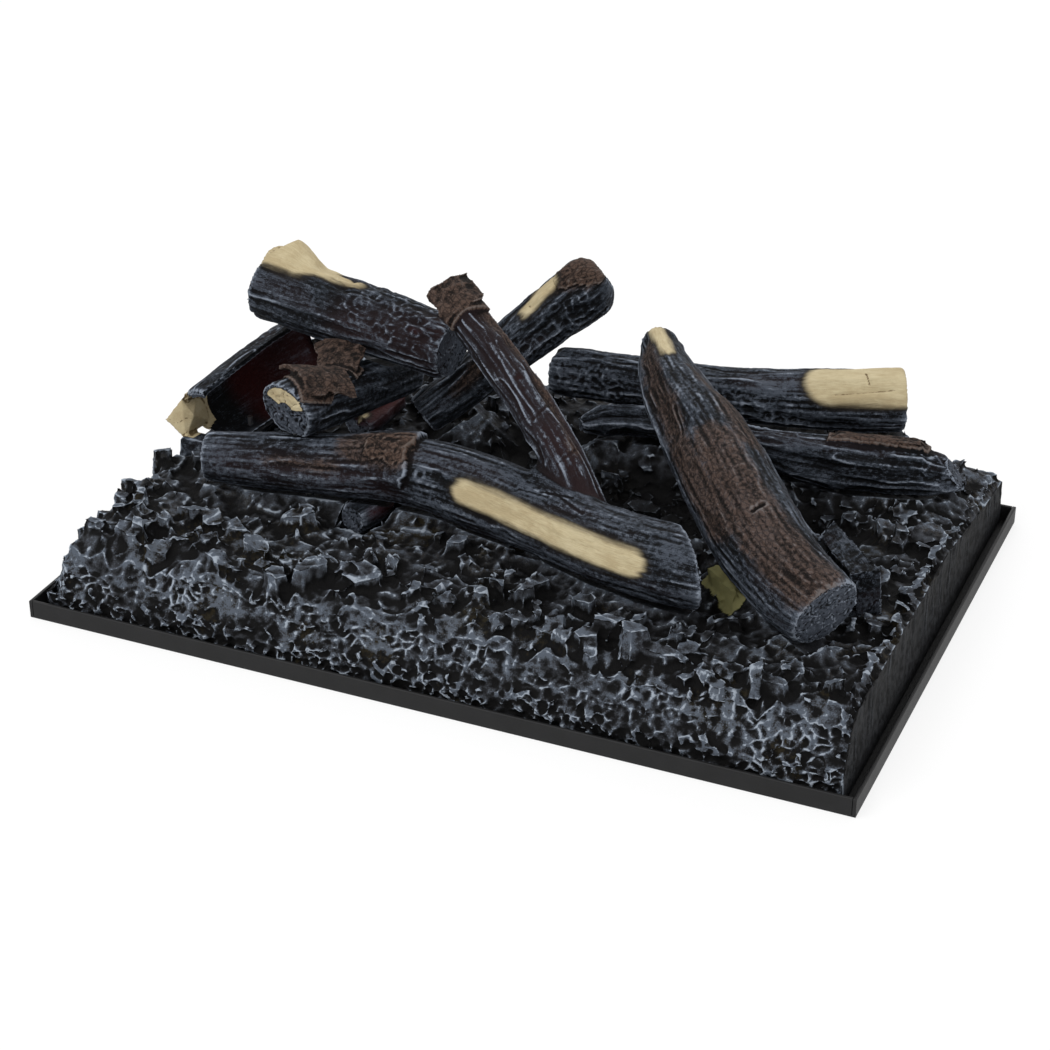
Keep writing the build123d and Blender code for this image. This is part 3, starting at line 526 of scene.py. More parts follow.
def flakeField(points, line, flake):
    # 1 on a flake's own stuff, 0 on the log under it
    centre, out, over, along, radius = flakeFrame(line, flake)
    away, curve = points - centre, radius * flake["curl"]
    across, up = (away * over).sum(1), (away * out).sum(1) - (radius - curve)
    height = np.hypot(across, up) - curve
    s, t = (away * along).sum(1) / flake["length"] * 2, np.arctan2(across, up) * curve / flake["width"] * 2
    lift = flakeLift(flake, s, t)
    inside = (np.maximum(np.abs(s), np.abs(t)) < 1.12) & (height > lift - flake["thick"] - 0.0012)
    return np.where(inside & (height < lift + 0.006), 1.0, 0.0)


def patchField(spot, line, patches):
    # metres inside the edge of the nearest patch, negative outside
    best = np.full(len(spot.run), -1.0)
    for share0, angle0, share1, angle1, width0, width1 in patches:
        turn = turnFrom(spot, angle0)
        here = np.stack([spot.run - share0 * line.length, turn * spot.radius], 1)
        there = np.stack([np.full(len(turn), (share1 - share0) * line.length),
                          radians(angle1 - angle0) * spot.radius], 1)
        part = np.clip((here * there).sum(1) / np.maximum((there * there).sum(1), 1e-9), 0, 1)
        off = np.linalg.norm(here - there * part[:, None], axis=1)
        best = np.maximum(best, width0 + (width1 - width0) * part - off)
    return best


# weathering: depths of carving in metres and the sizes of what is carved
weather = {
    "lump": 0.0024, "ridge": 0.0023, "fibre": 0.0012, "grit": 0.0007, "scale": 0.0018, "bare": 0.0006,
    "end": 0.0024, "ring": 0.0002, "split": 0.0012, "rim": 0.0030, "rimReach": 0.005, "ringGap": 0.0042,
    "burl": 0.0022, "collar": 0.0018, "warp": 0.006, "ridgeSize": (0.036, 0.0078, 0.0078),
    "knobSize": 0.0100, "smallKnobSize": 0.0056, "knobFrame": {"tip": 38, "turn": 33},
    "capFacing": (0.55, 0.85), "paleFade": 0.016, "barkFade": 0.012, "brownFade": 0.020}
# where a patch begins and is whole, in metres inside its outline
borders = {"bark": (-0.0004, 0.0006), "pale": (-0.003, 0.003), "scaly": (-0.006, 0.008),
           "slit": (-0.0018, 0.0014), "plum": (-0.02, 0.02), "glow": (-0.004, 0.012)}
# noises of a log: feature size in metres, number in its seed, layers
grains = {
    "lump": ((0.050, 0.024, 0.024), 0, 3), "patch": (0.018, 2, 1), "fibre": ((0.03, 0.003, 0.003), 5, 1),
    "grit": (0.0026, 6, 1), "bark": (0.008, 8, 1), "rag": (0.006, 9, 1), "fray": (0.0022, 10, 1),
    "streak": ((0.020, 0.002, 0.002), 11, 1), "char": (0.04, 12, 2), "ring": (0.02, 13, 1),
    "spoke": (0.015, 14, 1), "broken": (0.008, 15, 3), "rim": (0.007, 16, 1), "inside": (0.05, 18, 1)}


def surfaceOf(shape, line, points, normals):
    # what the carving and the colours of a log both need
    spot, empty = locate(line, points), np.zeros(len(points))
    grain = np.stack([spot.run, spot.reach * np.sin(spot.angle), spot.reach * np.cos(spot.angle)], 1)
    noise = lambda key: layeredNoise(grain / grains[key][0], shape["seed"] + grains[key][1], grains[key][2])
    patch = lambda key: patchField(spot, line, shape.get(key, []))
    capped = step(*weather["capFacing"], np.abs((normals * spot.along).sum(1)))
    rag, streak = noise("rag") - 0.5 + (noise("fray") - 0.5) * 0.5, noise("streak") - 0.5
    bark, pale = patch("bark") + rag * 0.006, patch("pale") + streak * shape.get("paleStreak", 0.003)
    tones = {tone: empty for tone in ("bark", "pale", "char", "amber")}
    owned = [("bark", flakeField(points, line, flake)) for flake in shape.get("flakes", [])]
    owned += [(chunk["tone"], chunkField(points, chunk)) for chunk in shape.get("chunks", [])]
    for tone, own in owned:
        tones[tone] = np.maximum(tones[tone], own)
    return SimpleNamespace(
        shape=shape, line=line, spot=spot, grain=grain, noise=noise, patch=patch, capped=capped, rag=rag,
        side=1 - capped, outward=spot.spoke / np.maximum(spot.reach, 1e-6)[:, None], streak=streak,
        patchy=noise("patch"), bark=bark, pale=pale, barked=step(*borders["bark"], bark) * (1 - capped),
        bare=step(*borders["pale"], pale), tones=tones, flaked=np.maximum.reduce(list(tones.values())))


def charDepth(log):
    # lumps, char ridges, fibres, grit and scales, and the bark layer that stands proud
    shape, side, noise = log.shape, log.side, log.noise
    calm = (1 - 0.75 * log.bare) * (1 - 0.5 * log.barked)
    warped = log.grain + weather["warp"] * (log.patchy[:, None] - 0.5)
    ridges = 1 - creases(warped / weather["ridgeSize"], shape["seed"] + 4)
    skewed = warped @ chunkFrame(weather["knobFrame"])
    knobs = (1 - creases(skewed / weather["knobSize"], shape["seed"] + 7)
             + 0.7 * (1 - creases(skewed / weather["smallKnobSize"], shape["seed"] + 17)))
    chars = shape.get("rough", 0.7) + 0.5 * step(0.5, 0.62, noise("char"))
    depth = weather["lump"] * ((1 - noise("lump")) * shape.get("lumpy", 1.2)) * side
    fibre = 1 - noise("fibre")
    depth = depth + (weather["ridge"] * ridges * chars + weather["fibre"] * fibre) * calm * side
    gritty = 0.6 + 0.8 * np.maximum(log.barked, log.flaked) + 0.6 * log.capped
    depth = depth + weather["grit"] * noise("grit") * gritty
    scales = step(*borders["scaly"], log.patch("scaly") + log.rag * 0.01) * side
    depth = depth + scales * weather["scale"] * knobs
    depth = depth - shape.get("barkRise", 0.0020) * log.barked * (0.6 + 0.8 * noise("bark"))
    return depth + weather["bare"] * log.bare * side


def markDepth(log, depth):
    # burls and slits that the table of a log names
    spot, side = log.spot, log.side
    for share, angle, size in log.shape.get("burls", []):
        off = np.hypot(spot.run - share * log.line.length, turnFrom(spot, angle) * spot.radius) / size
        core, collar = np.exp(-(off / 0.35) ** 2), np.exp(-(off / 0.9) ** 2)
        depth = depth + (core * weather["burl"] - collar * weather["collar"]) * side
    for *ends, width, deep in log.shape.get("slits", []):
        slit = patchField(spot, log.line, [(*ends, width, width * 0.4)]) + log.rag * 0.0012
        depth = depth + deep * step(*borders["slit"], slit) * side
    return depth


def endDepth(log, depth, toEnd):
    # broken ends: rings, splits from the middle, a ragged rim
    spot, noise = log.spot, log.noise
    rings = np.abs(np.sin(spot.reach / weather["ringGap"] * pi + 3 * noise("ring")))
    spokes = 1 - np.abs(np.sin(spot.angle * 3.5 + 4 * noise("spoke")))
    broken, splits = weather["end"] * noise("broken"), weather["split"] * step(0.86, 1, spokes)
    depth = depth + log.capped * (broken + weather["ring"] * rings + splits)
    nearEnd = np.exp(-np.maximum(toEnd, 0) / weather["rimReach"])
    return depth + log.side * nearEnd * weather["rim"] * noise("rim")


def raisedDepth(log, depth):
    # places that stand proud
    spot = log.spot
    for share, angle, reachAlong, reachRound, height in log.shape.get("swells", []):
        off = np.hypot((spot.share - share) / reachAlong, turnFrom(spot, angle) / radians(reachRound))
        depth = depth - height * (1 - step(0, 1, off))
    for share, angle, reachRound, reachBack, height in log.shape.get("lips", []):
        # the bark layer stops here in a raised, ragged lip
        away = (share - spot.share) * log.line.length + log.rag * 0.007 + 0.006 * (log.patchy - 0.5)
        lip = step(0, 0.0016, away) * (1 - step(0, 1, away / reachBack))
        turn = np.abs(turnFrom(spot, angle)) / radians(reachRound)
        depth = depth - height * lip * (1 - step(0.75, 1, turn))
    return depth


def inwardPush(log, fromEnds):
    # rounded rims of the ends, and flats split off along the log
    spot, push = log.spot, np.zeros(len(log.side))
    for away, reachBack in zip(fromEnds, log.shape.get("endRound", (0.005, 0.005))):
        push = push + (1 - np.sqrt(1 - np.clip(1 - away / reachBack, 0, 0.98) ** 2)) * reachBack
    push = push * np.minimum(spot.reach / spot.radius, 1)
    for angle, deep, start, end in log.shape.get("flats", []):
        cut = np.cos(spot.angle - radians(angle))
        within = step(start - 0.03, start + 0.02, spot.share)
        within = within * (1 - step(end - 0.02, end + 0.03, spot.share))
        over = spot.reach - spot.radius * deep / np.maximum(cut, 0.05)
        push = np.maximum(push, np.where(cut > 0.05, np.maximum(over, 0), 0) * within)
    return push


def chopEnds(log, points):
    # axe cuts that slant off one end
    spot = log.spot
    for angle, atStart, deep, slope, bend in log.shape.get("chops", []):
        turn = radians(angle)
        cutWay = spot.side * sin(turn) + spot.top * cos(turn)
        reach = ((points - spot.centre) * cutWay).sum(1)
        away = spot.run if atStart else log.line.length - spot.run
        over = np.maximum(reach - spot.radius * deep - slope * away - bend * log.rag, 0) * (1 - log.flaked)
        points = points - cutWay * over[:, None]
    return points


def logFields(log, inner):
    # what the char material reads
    shape, spot, patch, free = log.shape, log.spot, log.patch, 1 - log.flaked
    brown = patch("brown") + log.rag * 0.004 + log.streak * 0.004 - log.capped * 0.03
    glow = patch("glow")
    if "open" in shape:
        middle = step(0.15, 0.5, spot.share) * (0.25 + 0.9 * log.noise("inside"))
        glow = np.maximum(glow, np.where(inner > 0.5, middle * 0.02 - 0.008, -1))
    faded = lambda inside, key: np.clip(0.5 + inside / weather[key], 0, 1)
    pale = np.maximum(faded(log.pale, "paleFade") * free, log.tones["pale"])
    if "endPale" in shape:
        low, high, left, right = shape["endPale"]
        share, turn = spot.reach / spot.radius, np.degrees(spot.angle)
        band = step(low - 0.05, low + 0.05, share) * (1 - step(high - 0.05, high + 0.05, share))
        band = band * step(left - 6, left + 6, turn) * (1 - step(right - 6, right + 6, turn))
        pale = np.maximum(pale, band * step(0.3, 0.5, log.capped) * (spot.share < 0.5))
    return {"grain": log.grain, "pale": pale, "glow": step(*borders["glow"], glow),
            "amber": log.tones["amber"],
            "bark": np.maximum(faded(log.bark, "barkFade") * free, log.tones["bark"]),
            "brown": faded(brown, "brownFade") * free, "ends": log.capped * free,
            "pallor": np.full(len(free), shape.get("pallor", 0.0)),
            "plum": step(*borders["plum"], patch("plum")) * 0.8}


def weatherLog(shape, line, points, normals):
    # carves char, splits and broken ends into a log, and returns its colour fields
    log = surfaceOf(shape, line, points, normals)
    leans = [log.grain[:, 1] * over + log.grain[:, 2] * up
             for over, up in (shape.get("startLean", (0, 0)), shape.get("endLean", (0, 0)))]
    run = log.spot.run
    fromEnds = [np.maximum(run - leans[0], 0), np.maximum(line.length - run + leans[1], 0)]
    depth = raisedDepth(log, endDepth(log, markDepth(log, charDepth(log)), np.minimum(*fromEnds)))
    inner = step(0.3, 0.7, -(normals * log.outward).sum(1)) * log.side
    if "open" in shape:
        # a thin shell takes less, and its hollow side least
        depth = depth * (0.55 - 0.35 * inner)
    # chunks take half of it, bark flakes a fifth
    depth = depth * (1 - 0.5 * log.flaked - 0.3 * log.tones["bark"])
    push = inwardPush(log, fromEnds) * (1 - log.flaked)
    points = points - normals * depth[:, None] - log.outward * push[:, None]
    return chopEnds(log, points), logFields(log, inner)


def keepClear(points, lines, gap=0.0007):
    # moves points that another log's round reaches out to its surface
    for line in lines:
        spot = locate(line, points)
        wanted = spot.radius + gap
        inside = (spot.reach < wanted) & (spot.run > 0) & (spot.run < line.length)
        out = spot.spoke / np.maximum(spot.reach, 1e-6)[:, None] * wanted[:, None]
        points = np.where(inside[:, None], spot.centre + out, points)
    return points


def underLog(points, lines, gap=0.0010, past=0.003):
    # lowers or pushes aside what would be inside a resting log, and leaves it free to lift
    for line in lines:
        low, high = line.centre.min(0) - 0.05, line.centre.max(0) + 0.05
        near = np.flatnonzero(((points > low) & (points < high)).all(1))
        part = points[near]
        for upright in (True, False):
            spot = locate(line, part)
            inRun = (spot.run > -past) & (spot.run < line.length + past)
            wanted = spot.radius + gap
            level = np.hypot(spot.spoke[:, 0], spot.spoke[:, 1])
            scale = wanted / np.maximum(level if upright else spot.reach, 1e-5)
            chosen = inRun & ((spot.spoke[:, 2] > 0) & (level < wanted) if upright else spot.reach < wanted)
            grow = np.stack([scale, scale, np.ones(len(scale)) if upright else scale], 1)
            part = np.where(chosen[:, None], spot.centre + spot.spoke * grow, part)
        points[near] = part
    return points


# how the joint of a forked log is smoothed, in metres
crotch = {"reach": 0.012, "smoothed": 0.14, "seam": 0.004, "seamReach": 0.02}


def buildLog(name, keys):
    # shapes that share one moulding are joined before they are carved
    shapes, lines, shells = [logs[key] for key in keys], [lineOf[key] for key in keys], Shells()
    for shape, line in zip(shapes, lines):
        shells.add(*tubeShell(shape, line))
        for flake in shape.get("flakes", []):
            shells.add(*flakeShell(line, flake))
        for chunk in shape.get("chunks", []):
            shells.add(*hullOf(chunkPoints(chunk)))
    piece = shells.makePiece(name, voxel["log"])
    points, normals, edges = readMesh(piece.data)
    spots = [locate(line, points) for line in lines]
    gaps = np.stack([spot.reach - spot.radius for spot in spots])
    if len(keys) > 1:
        near = np.exp(-(np.abs(gaps).max(0) / crotch["reach"]) ** 2)
        points = relax(points, edges, near * 0.9, int(crotch["smoothed"] / voxel["log"]))
        writePoints(piece.data, points)
        normals = readMesh(piece.data)[1]
    owner, result, fields = gaps.argmin(0), points.copy(), {}
    for k, (shape, line) in enumerate(zip(shapes, lines)):
        chosen = owner == k
        result[chosen], found = weatherLog(shape, line, points[chosen], normals[chosen])
        for key, values in found.items():
            fields.setdefault(key, np.zeros((len(points),) + values.shape[1:]))[chosen] = values
    if len(keys) > 1:
        seam = np.exp(-((gaps[0] - gaps[1]) / crotch["seam"]) ** 2)
        result = relax(result, edges, seam * (np.abs(gaps).max(0) < crotch["seamReach"]) * 0.8, 6)
    return piece, result, fields


def finishLog(piece, points, fields, material, shape):
    mesh = piece.data
    writePoints(mesh, points)
    # edge, from two rounds, guides dry brushing; the wider field darkens hollows as painted shade
    fields["edge"], fields["swellAndShade"] = edgeField(mesh, (2,), (0.2,)), edgeField(mesh, (12,), (0.2,))
    saveFields(mesh, fields)
    mesh.shade_smooth()
    mesh.materials.append(material)
    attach(piece, shape["body"])
    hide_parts(*shape["nodes"])
    replaced.update(shape["nodes"])
    print(piece.name, len(mesh.vertices))


# the first colour is burnt wood's darkest tone and also the painted shade in its hollows
charLook = {
    "sootAndShade": (0.0025, 0.0027, 0.0034), "slate": (0.0225, 0.0275, 0.0360), "plum": (0.0165, 0.0095, 0.0105),
    "dust": (0.072, 0.084, 0.107), "steel": (0.215, 0.245, 0.295), "barkDark": (0.0050, 0.0036, 0.0032),
    "barkLight": (0.066, 0.042, 0.032), "barkDust": (0.15, 0.125, 0.11), "paleLight": (0.49, 0.42, 0.270),
    "paleDark": (0.37, 0.30, 0.178), "paleCrack": (0.10, 0.065, 0.030), "halo": (0.012, 0.010, 0.009),
    "red": (0.034, 0.0035, 0.0032), "amber": (0.29, 0.275, 0.125)}


def charredWood(name, look):
    material, bench, shader = startMaterial(name, {"Specular IOR Level": 0.08})
    grain = bench.node("Attribute", {"attribute_name": "grain"}, out=1)
    edge, swellAndShade, bark, brown, pale = bench.masks("edge", "swellAndShade", "bark", "brown", "pale")
    glow, ends, amber, plumHere, pallor = bench.masks("glow", "ends", "amber", "plum", "pallor")
    fibre, grit = grain.noise(0.008, 0.0010, 0.0010), grain.noise(0.0008, layers=2.0)
    patchy, speck = grain.noise(0.05, 0.02, 0.02), grain.noise(0.0024)
    cloud, blotch = grain.noise(0.09, 0.035, 0.035, layers=2.0), grain.noise(0.014, 0.010, 0.010)
    crazing = grain.cracks(0.0060, 0.0040, 0.0040).rise(0.02, 0.14)
    # burnt wood, darkest in hollows as painted shade, its purple patches, grey dust and brushed ridges
    colour = (patchy * 0.7 + (fibre - 0.5) * 0.65 + (grit - 0.5) * 0.5 + (speck - 0.5) * 0.4
              + (swellAndShade - 0.5) * 0.9 + (edge - 0.5) * 0.6 + pallor * 0.5 + 0.15)
    colour = (colour.rise(0.36, 0.66) * (crazing * 0.4 + 0.6)).blend(look["sootAndShade"], look["slate"])
    colour = ((cloud.rise(0.52, 0.68) * 0.4 + plumHere) * 0.8).blend(colour, look["plum"])
    dusty = (ends * 0.15 + pallor + fibre * 0.34 + grit * 0.46 + speck * 0.2 + (edge - 0.5) * 0.6
             + (patchy - 0.5) * 0.4 + (blotch - 0.5) * 0.4)
    colour = (dusty.rise(0.50, 0.66) * 0.65).blend(colour, look["dust"])
    brush = (edge + (fibre - 0.5) * 0.5 + (grit - 0.5) * 0.5 + (blotch - 0.5) * 0.6).rise(0.66, 0.98)
    colour = (brush * 0.85).blend(colour, look["steel"])
    # brown bark, darker in hollows as painted shade
    rust = speck * 0.6 + grit * 0.5 + (edge - 0.5) * 0.6 + (swellAndShade - 0.5) * 0.4 + (patchy - 0.5) * 0.4 - 0.05
    rust = (rust.rise(0.34, 0.66) * (crazing * 0.6 + 0.4)).blend(look["barkDark"], look["barkLight"])
    rust = ((brush + (grit + speck * 0.5).rise(0.84, 1.0) * 0.5) * 0.5).blend(rust, look["barkDust"])
    tinted = (brown + (speck - 0.5) * 0.4 + (blotch - 0.5) * 0.5).rise(0.28, 0.80)
    barked = (bark + (grit - 0.5) * 0.12).rise(0.46, 0.53)
    for share in (tinted * 0.85, barked * 0.95):
        colour = share.blend(colour, rust)
    # glow, bare wood with a dark rim, amber resin
    colour = (glow * 0.85).blend(colour, look["red"])
    colour = ((pale + (blotch - 0.5) * 0.15).rise(0.0, 0.40) * 0.9).blend(colour, look["halo"])
    wood = (fibre * 0.6 + (patchy - 0.5) * 0.8 + (blotch - 0.5) * 0.6 + 0.2).rise(0.26, 0.72)
    wood = wood.blend(look["paleDark"], look["paleLight"])
    wood = (0.9 - edge.rise(0.10, 0.38) * 0.9).blend(wood, look["paleCrack"])
    bare = (pale + (fibre - 0.5) * 0.08 + (blotch - 0.5) * 0.12).rise(0.27, 0.70)
    colour = amber.blend(bare.blend(colour, wood), look["amber"])
    rough = 0.78 - brush * 0.1 - patchy * 0.14 - amber * 0.3
    height = fibre * (1 - ends * 0.8) + grit * 0.7 + speck * barked * 0.8 + crazing * (1 - bare) * 0.5
    feed(shader, bench, colour, rough, height, 0.6, 0.0008)
    return material


charred = charredWood("charredWood", charLook)
print("char material made")

# log shapes: knots are shares of the bed's half length and depth, lift above the ridge and radius as shares
# of the log thickness. Patches run from one place to another: share along, degrees round from the top,
# twice, then the half width in metres at each.
frontTrunk = {
    "seed": 11, "body": "front_logs", "nodes": ["front_log"], "rough": 0.5,
    "knots": [(-0.777, -0.404, 0.43, 0.33), (-0.631, -0.366, 0.46, 0.37), (-0.46, -0.321, 0.49, 0.40),
        (-0.288, -0.266, 0.51, 0.45), (-0.065, -0.303, 0.52, 0.483), (0.141, -0.387, 0.50, 0.467),
        (0.341, -0.475, 0.483, 0.467), (0.519, -0.509, 0.5, 0.5)], "endLean": (0.75, 0),
    "flats": [(68, 0.94, 0.5, 0.97)], "pale": [(0.555, 66, 0.915, 71, 0.0095, 0.0105)],
    "lips": [(0.418, 22, 74, 0.060, 0.0046)], "bark": [(0.345, 22, 0.385, 24, 0.012, 0.015)],
    "barkRise": 0.0006, "brown": [(0.30, 25, 0.38, 25, 0.015, 0.018), (0.14, 60, 0.26, 66, 0.003, 0.006)],
    "plum": [(0.05, 70, 0.36, 90, 0.008, 0.014)], "pallor": 0.03, "burls": [(0.452, 62, 0.007)],
    "slits": [(0.70, 18, 0.76, 2, 0.0004, 0.0009), (0.735, 10, 0.80, 22, 0.0004, 0.0009),
        (0.66, 28, 0.72, 20, 0.0004, 0.0008)]}
branch = {
    "seed": 23, "rough": 1.6, "lumpy": 1.9, "knots": [(-0.273, 0.145, 2.13, 0.267),
        (-0.171, 0.032, 1.967, 0.3), (-0.071, -0.064, 1.733, 0.3), (0.029, -0.165, 1.467, 0.3),
        (0.127, -0.253, 1.1, 0.3), (0.236, -0.350, 0.56, 0.3)], "flakes": [{"share": 0.055, "angle": 22,
        "length": 0.036, "width": 0.040, "curl": 1.5, "thick": 0.0045, "lift": 0.0016, "tip": -0.0006,
        "seed": 8}], "plum": [(0.2, 0, 1.0, 0, 0.03, 0.03)], "pallor": -0.05,
    "brown": [(0.14, -28, 0.44, -52, 0.0065, 0.008), (0.5, -40, 0.78, -20, 0.006, 0.005)],
    "burls": [(0.475, 16, 0.011)], "glow": [(0.475, 16, 0.475, 16, 0.001, 0.001)],
    "slits": [(0.60, -30, 0.63, 50, 0.0006, 0.0008), (0.78, -20, 0.80, 50, 0.0005, 0.0007)]}
topLeft = {
    "seed": 31, "body": "top_log", "nodes": ["top_left_log"], "startLean": (-0.12, 0.02), "rough": 1.1,
    "lumpy": 1.4, "knots": [(-0.832, 0.271, 1.7, 0.5), (-0.27, 0.146, 1.483, 0.433)],
    "chops": [(-6, True, 0.80, 0.95, 0.0)], "swells": [(0.07, -22, 0.20, 60, 0.0118)],
    "flats": [(-22, 0.90, 0.24, 0.45)], "pale": [(-0.06, -30, 0.16, -24, 0.032, 0.026),
        (0.16, -18, 0.48, -2, 0.018, 0.004)], "paleStreak": 0.006,
    "plum": [(0.55, 80, 1.0, 60, 0.02, 0.03)], "scaly": [(0.56, 10, 1.0, 40, 0.03, 0.036)],
    "glow": [(0.84, 48, 0.86, 50, 0.002, 0.002)]}
leaning = {
    "seed": 43, "body": "lean_log", "nodes": ["leaning_log"], "rough": 1.1, "lumpy": 1.6,
    "endRound": (0.004, 0.020), "knots": [(-0.421, 0.305, 0.2, 0.317), (-0.046, 0.782, 1.825, 0.467)],
    "flats": [(72, 0.9, 0.45, 0.8)], "pale": [(0.64, 16, 0.77, 2, 0.0055, 0.0085)],
    "brown": [(0.82, 12, 0.99, 26, 0.012, 0.022), (0.2, 63, 0.32, 50, 0.006, 0.009)],
    "bark": [(0.86, 14, 0.98, 28, 0.010, 0.020)], "barkRise": 0.0014,
    "scaly": [(0.5, 70, 0.95, 80, 0.02, 0.03)]}
back = {
    "seed": 53, "body": "bed", "nodes": ["back_log"], "rough": 0.9, "lumpy": 1.5, "pallor": 0.06,
    "knots": [(-0.142, 0.606, 0.667, 0.35), (0.039, 0.635, 0.667, 0.36), (0.304, 0.664, 0.667, 0.383),
        (0.547, 0.763, 0.667, 0.417), (0.748, 0.88, 0.683, 0.45)], "flats": [(42, 0.95, 0.66, 1.1)],
    "pale": [(0.80, 26, 1.06, 28, 0.021, 0.024)], "paleStreak": 0.002,
    "scaly": [(0.5, 88, 0.66, 110, 0.016, 0.016), (0.0, 60, 0.2, 90, 0.010, 0.010)],
    "burls": [(0.57, 112, 0.012)], "slits": [(0.885, 8, 0.892, 34, 0.0005, 0.0012),
        (0.80, 54, 0.96, 46, 0.0004, 0.0008)]}
right = {
    "seed": 61, "body": "bed", "nodes": ["right_log"], "endLean": (0, -0.5), "rough": 1.5,
    "knots": [(-0.001, 0.368, 0.4, 0.16), (0.044, 0.421, 0.417, 0.233), (0.16, 0.475, 0.433, 0.25),
        (0.442, 0.473, 0.4, 0.28), (0.677, 0.49, 0.367, 0.367), (0.867, 0.543, 0.367, 0.333),
        (0.945, 0.567, 0.367, 0.25)], "flats": [(30, 0.7, 0, 0.35), (88, 0.86, 0.5, 1.1)],
    "flakes": [{"share": 0.80, "angle": -8, "length": 0.066, "width": 0.013, "curl": 1.6, "thick": 0.003,
        "lift": 0.0016, "seed": 21}], "brown": [(0.72, -8, 0.9, -14, 0.003, 0.004)],
    "scaly": [(0.88, 20, 1.0, 30, 0.02, 0.02)]}
frontRight = {
    "seed": 71, "body": "right_front_log", "nodes": ["front_right_log"], "rough": 0.35, "pallor": 0.02,
    "knots": [(0.163, 0.565, 1.26, 0.317), (0.255, 0.345, 1.2, 0.417), (0.384, 0.115, 1.08, 0.533),
        (0.494, -0.076, 0.933, 0.567), (0.643, -0.336, 0.7, 0.567), (0.779, -0.511, 0.533, 0.517),
        (0.862, -0.592, 0.467, 0.483)], "startLean": (0, -0.6), "endLean": (0, 0.15),
    "flats": [(62, 0.84, 0.0, 0.42), (-42, 0.9, 0, 0.3)], "pale": [(-0.02, 8, 0.115, 2, 0.0065, 0.0045)],
    "brown": [(0.06, 52, 0.36, 62, 0.011, 0.014), (0.20, -34, 0.50, -30, 0.008, 0.014),
        (0.50, 18, 0.96, 22, 0.018, 0.024), (0.42, 66, 0.70, 60, 0.012, 0.018)],
    "slits": [(0.33, 44, 0.42, 54, 0.0012, 0.0022), (0.735, 4, 0.745, 20, 0.0016, 0.0022)]}
short = {
    "seed": 83, "body": "front_logs", "nodes": ["left_short_log"], "startLean": (0, -0.35), "rough": 0.5,
    "knots": [(-0.556, -0.382, 1.19, 0.41), (-0.505, -0.025, 0.98, 0.36), (-0.453, 0.331, 0.767, 0.3)],
    "flakes": [{"share": 0.20, "angle": 16, "length": 0.046, "width": 0.044, "curl": 1.15, "thick": 0.0065,
        "lift": 0.0042, "tip": 0.0016, "seed": 14, "twist": -24}, {"share": 0.50, "angle": -22,
        "length": 0.034, "width": 0.034, "curl": 1.6, "thick": 0.0065, "lift": 0.0100, "rise": 0.0085,
        "tip": -0.003, "seed": 19, "twist": 25}], "chunks": [{"at": (-0.146, 0.010, 0.098),
        "size": (0.010, 0.010, 0.010), "seed": 5, "tone": "pale"}], "endPale": (0.30, 0.84, -60, 75)}
hollow = {
    "seed": 97, "body": "bed", "nodes": ["hollow_bark_log"], "startLean": (0, -0.3), "open": (5, 120),
    "shell": 0.006, "rough": 0.9, "knots": [(-0.875, -0.08, 0.33, 0.5), (-0.825, 0.212, 0.5, 0.533),
        (-0.754, 0.511, 0.69, 0.533)], "chunks": [{"corners": [(-0.277, -0.024, 0.094),
        (-0.296, -0.020, 0.070), (-0.274, -0.027, 0.060), (-0.268, -0.022, 0.080), (-0.280, 0.006, 0.094),
        (-0.288, 0.006, 0.072), (-0.270, 0.006, 0.062)], "tone": "pale"}, {"at": (-0.266, -0.022, 0.056),
        "size": (0.030, 0.020, 0.020), "seed": 7, "tone": "char"}],
    "scaly": [(0.6, -40, 1.0, -20, 0.02, 0.03)]}
underRight = {
    "seed": 101, "body": "bed", "nodes": ["under_log_right"], "rough": 1.3,
    "knots": [(0.56, 0.13, 0.02, 0.4), (0.70, -0.12, 0.02, 0.45), (0.82, -0.33, 0.02, 0.4)],
    "flats": [(0, 0.4, 0, 1.1)], "scaly": [(0.5, 0, 1, 0, 0.02, 0.02)],
    "chunks": [{"at": (0.241, -0.038, 0.070), "size": (0.082, 0.024, 0.052), "turn": -52, "tip": 14,
        "seed": 12, "tone": "char"}, {"at": (0.196, 0.004, 0.062), "size": (0.020, 0.014, 0.018),
        "turn": -40, "seed": 3, "tone": "amber"}]}
underLeft = {
    "seed": 113, "body": "bed", "nodes": ["under_log_left"], "knots": [(-0.366, -0.44, 0.04, 0.24),
        (-0.34, -0.25, 0.04, 0.26)], "flats": [(0, 0.6, 0, 1.1)],
    "glow": [(0.3, 70, 1.0, 80, 0.006, 0.010)]}
glowing = {
    "seed": 127, "body": "bed", "nodes": ["glow_log"], "knots": [(-0.545, 0.13, 0.22, 0.24),
        (-0.53, 0.42, 0.22, 0.24)], "flats": [(20, 0.6, 0, 1.1)], "glow": [(0.2, 30, 1.0, 40, 0.02, 0.02)],
    "pale": [(0.06, 20, 0.14, 26, 0.003, 0.003)]}

logs = {"front": frontTrunk, "branch": branch, "topLeft": topLeft, "leaning": leaning, "back": back,
        "right": right, "frontRight": frontRight, "short": short, "hollow": hollow, "underRight": underRight,
        "underLeft": underLeft, "glowing": glowing}
lineOf = {key: followLog(shape) for key, shape in logs.items()}
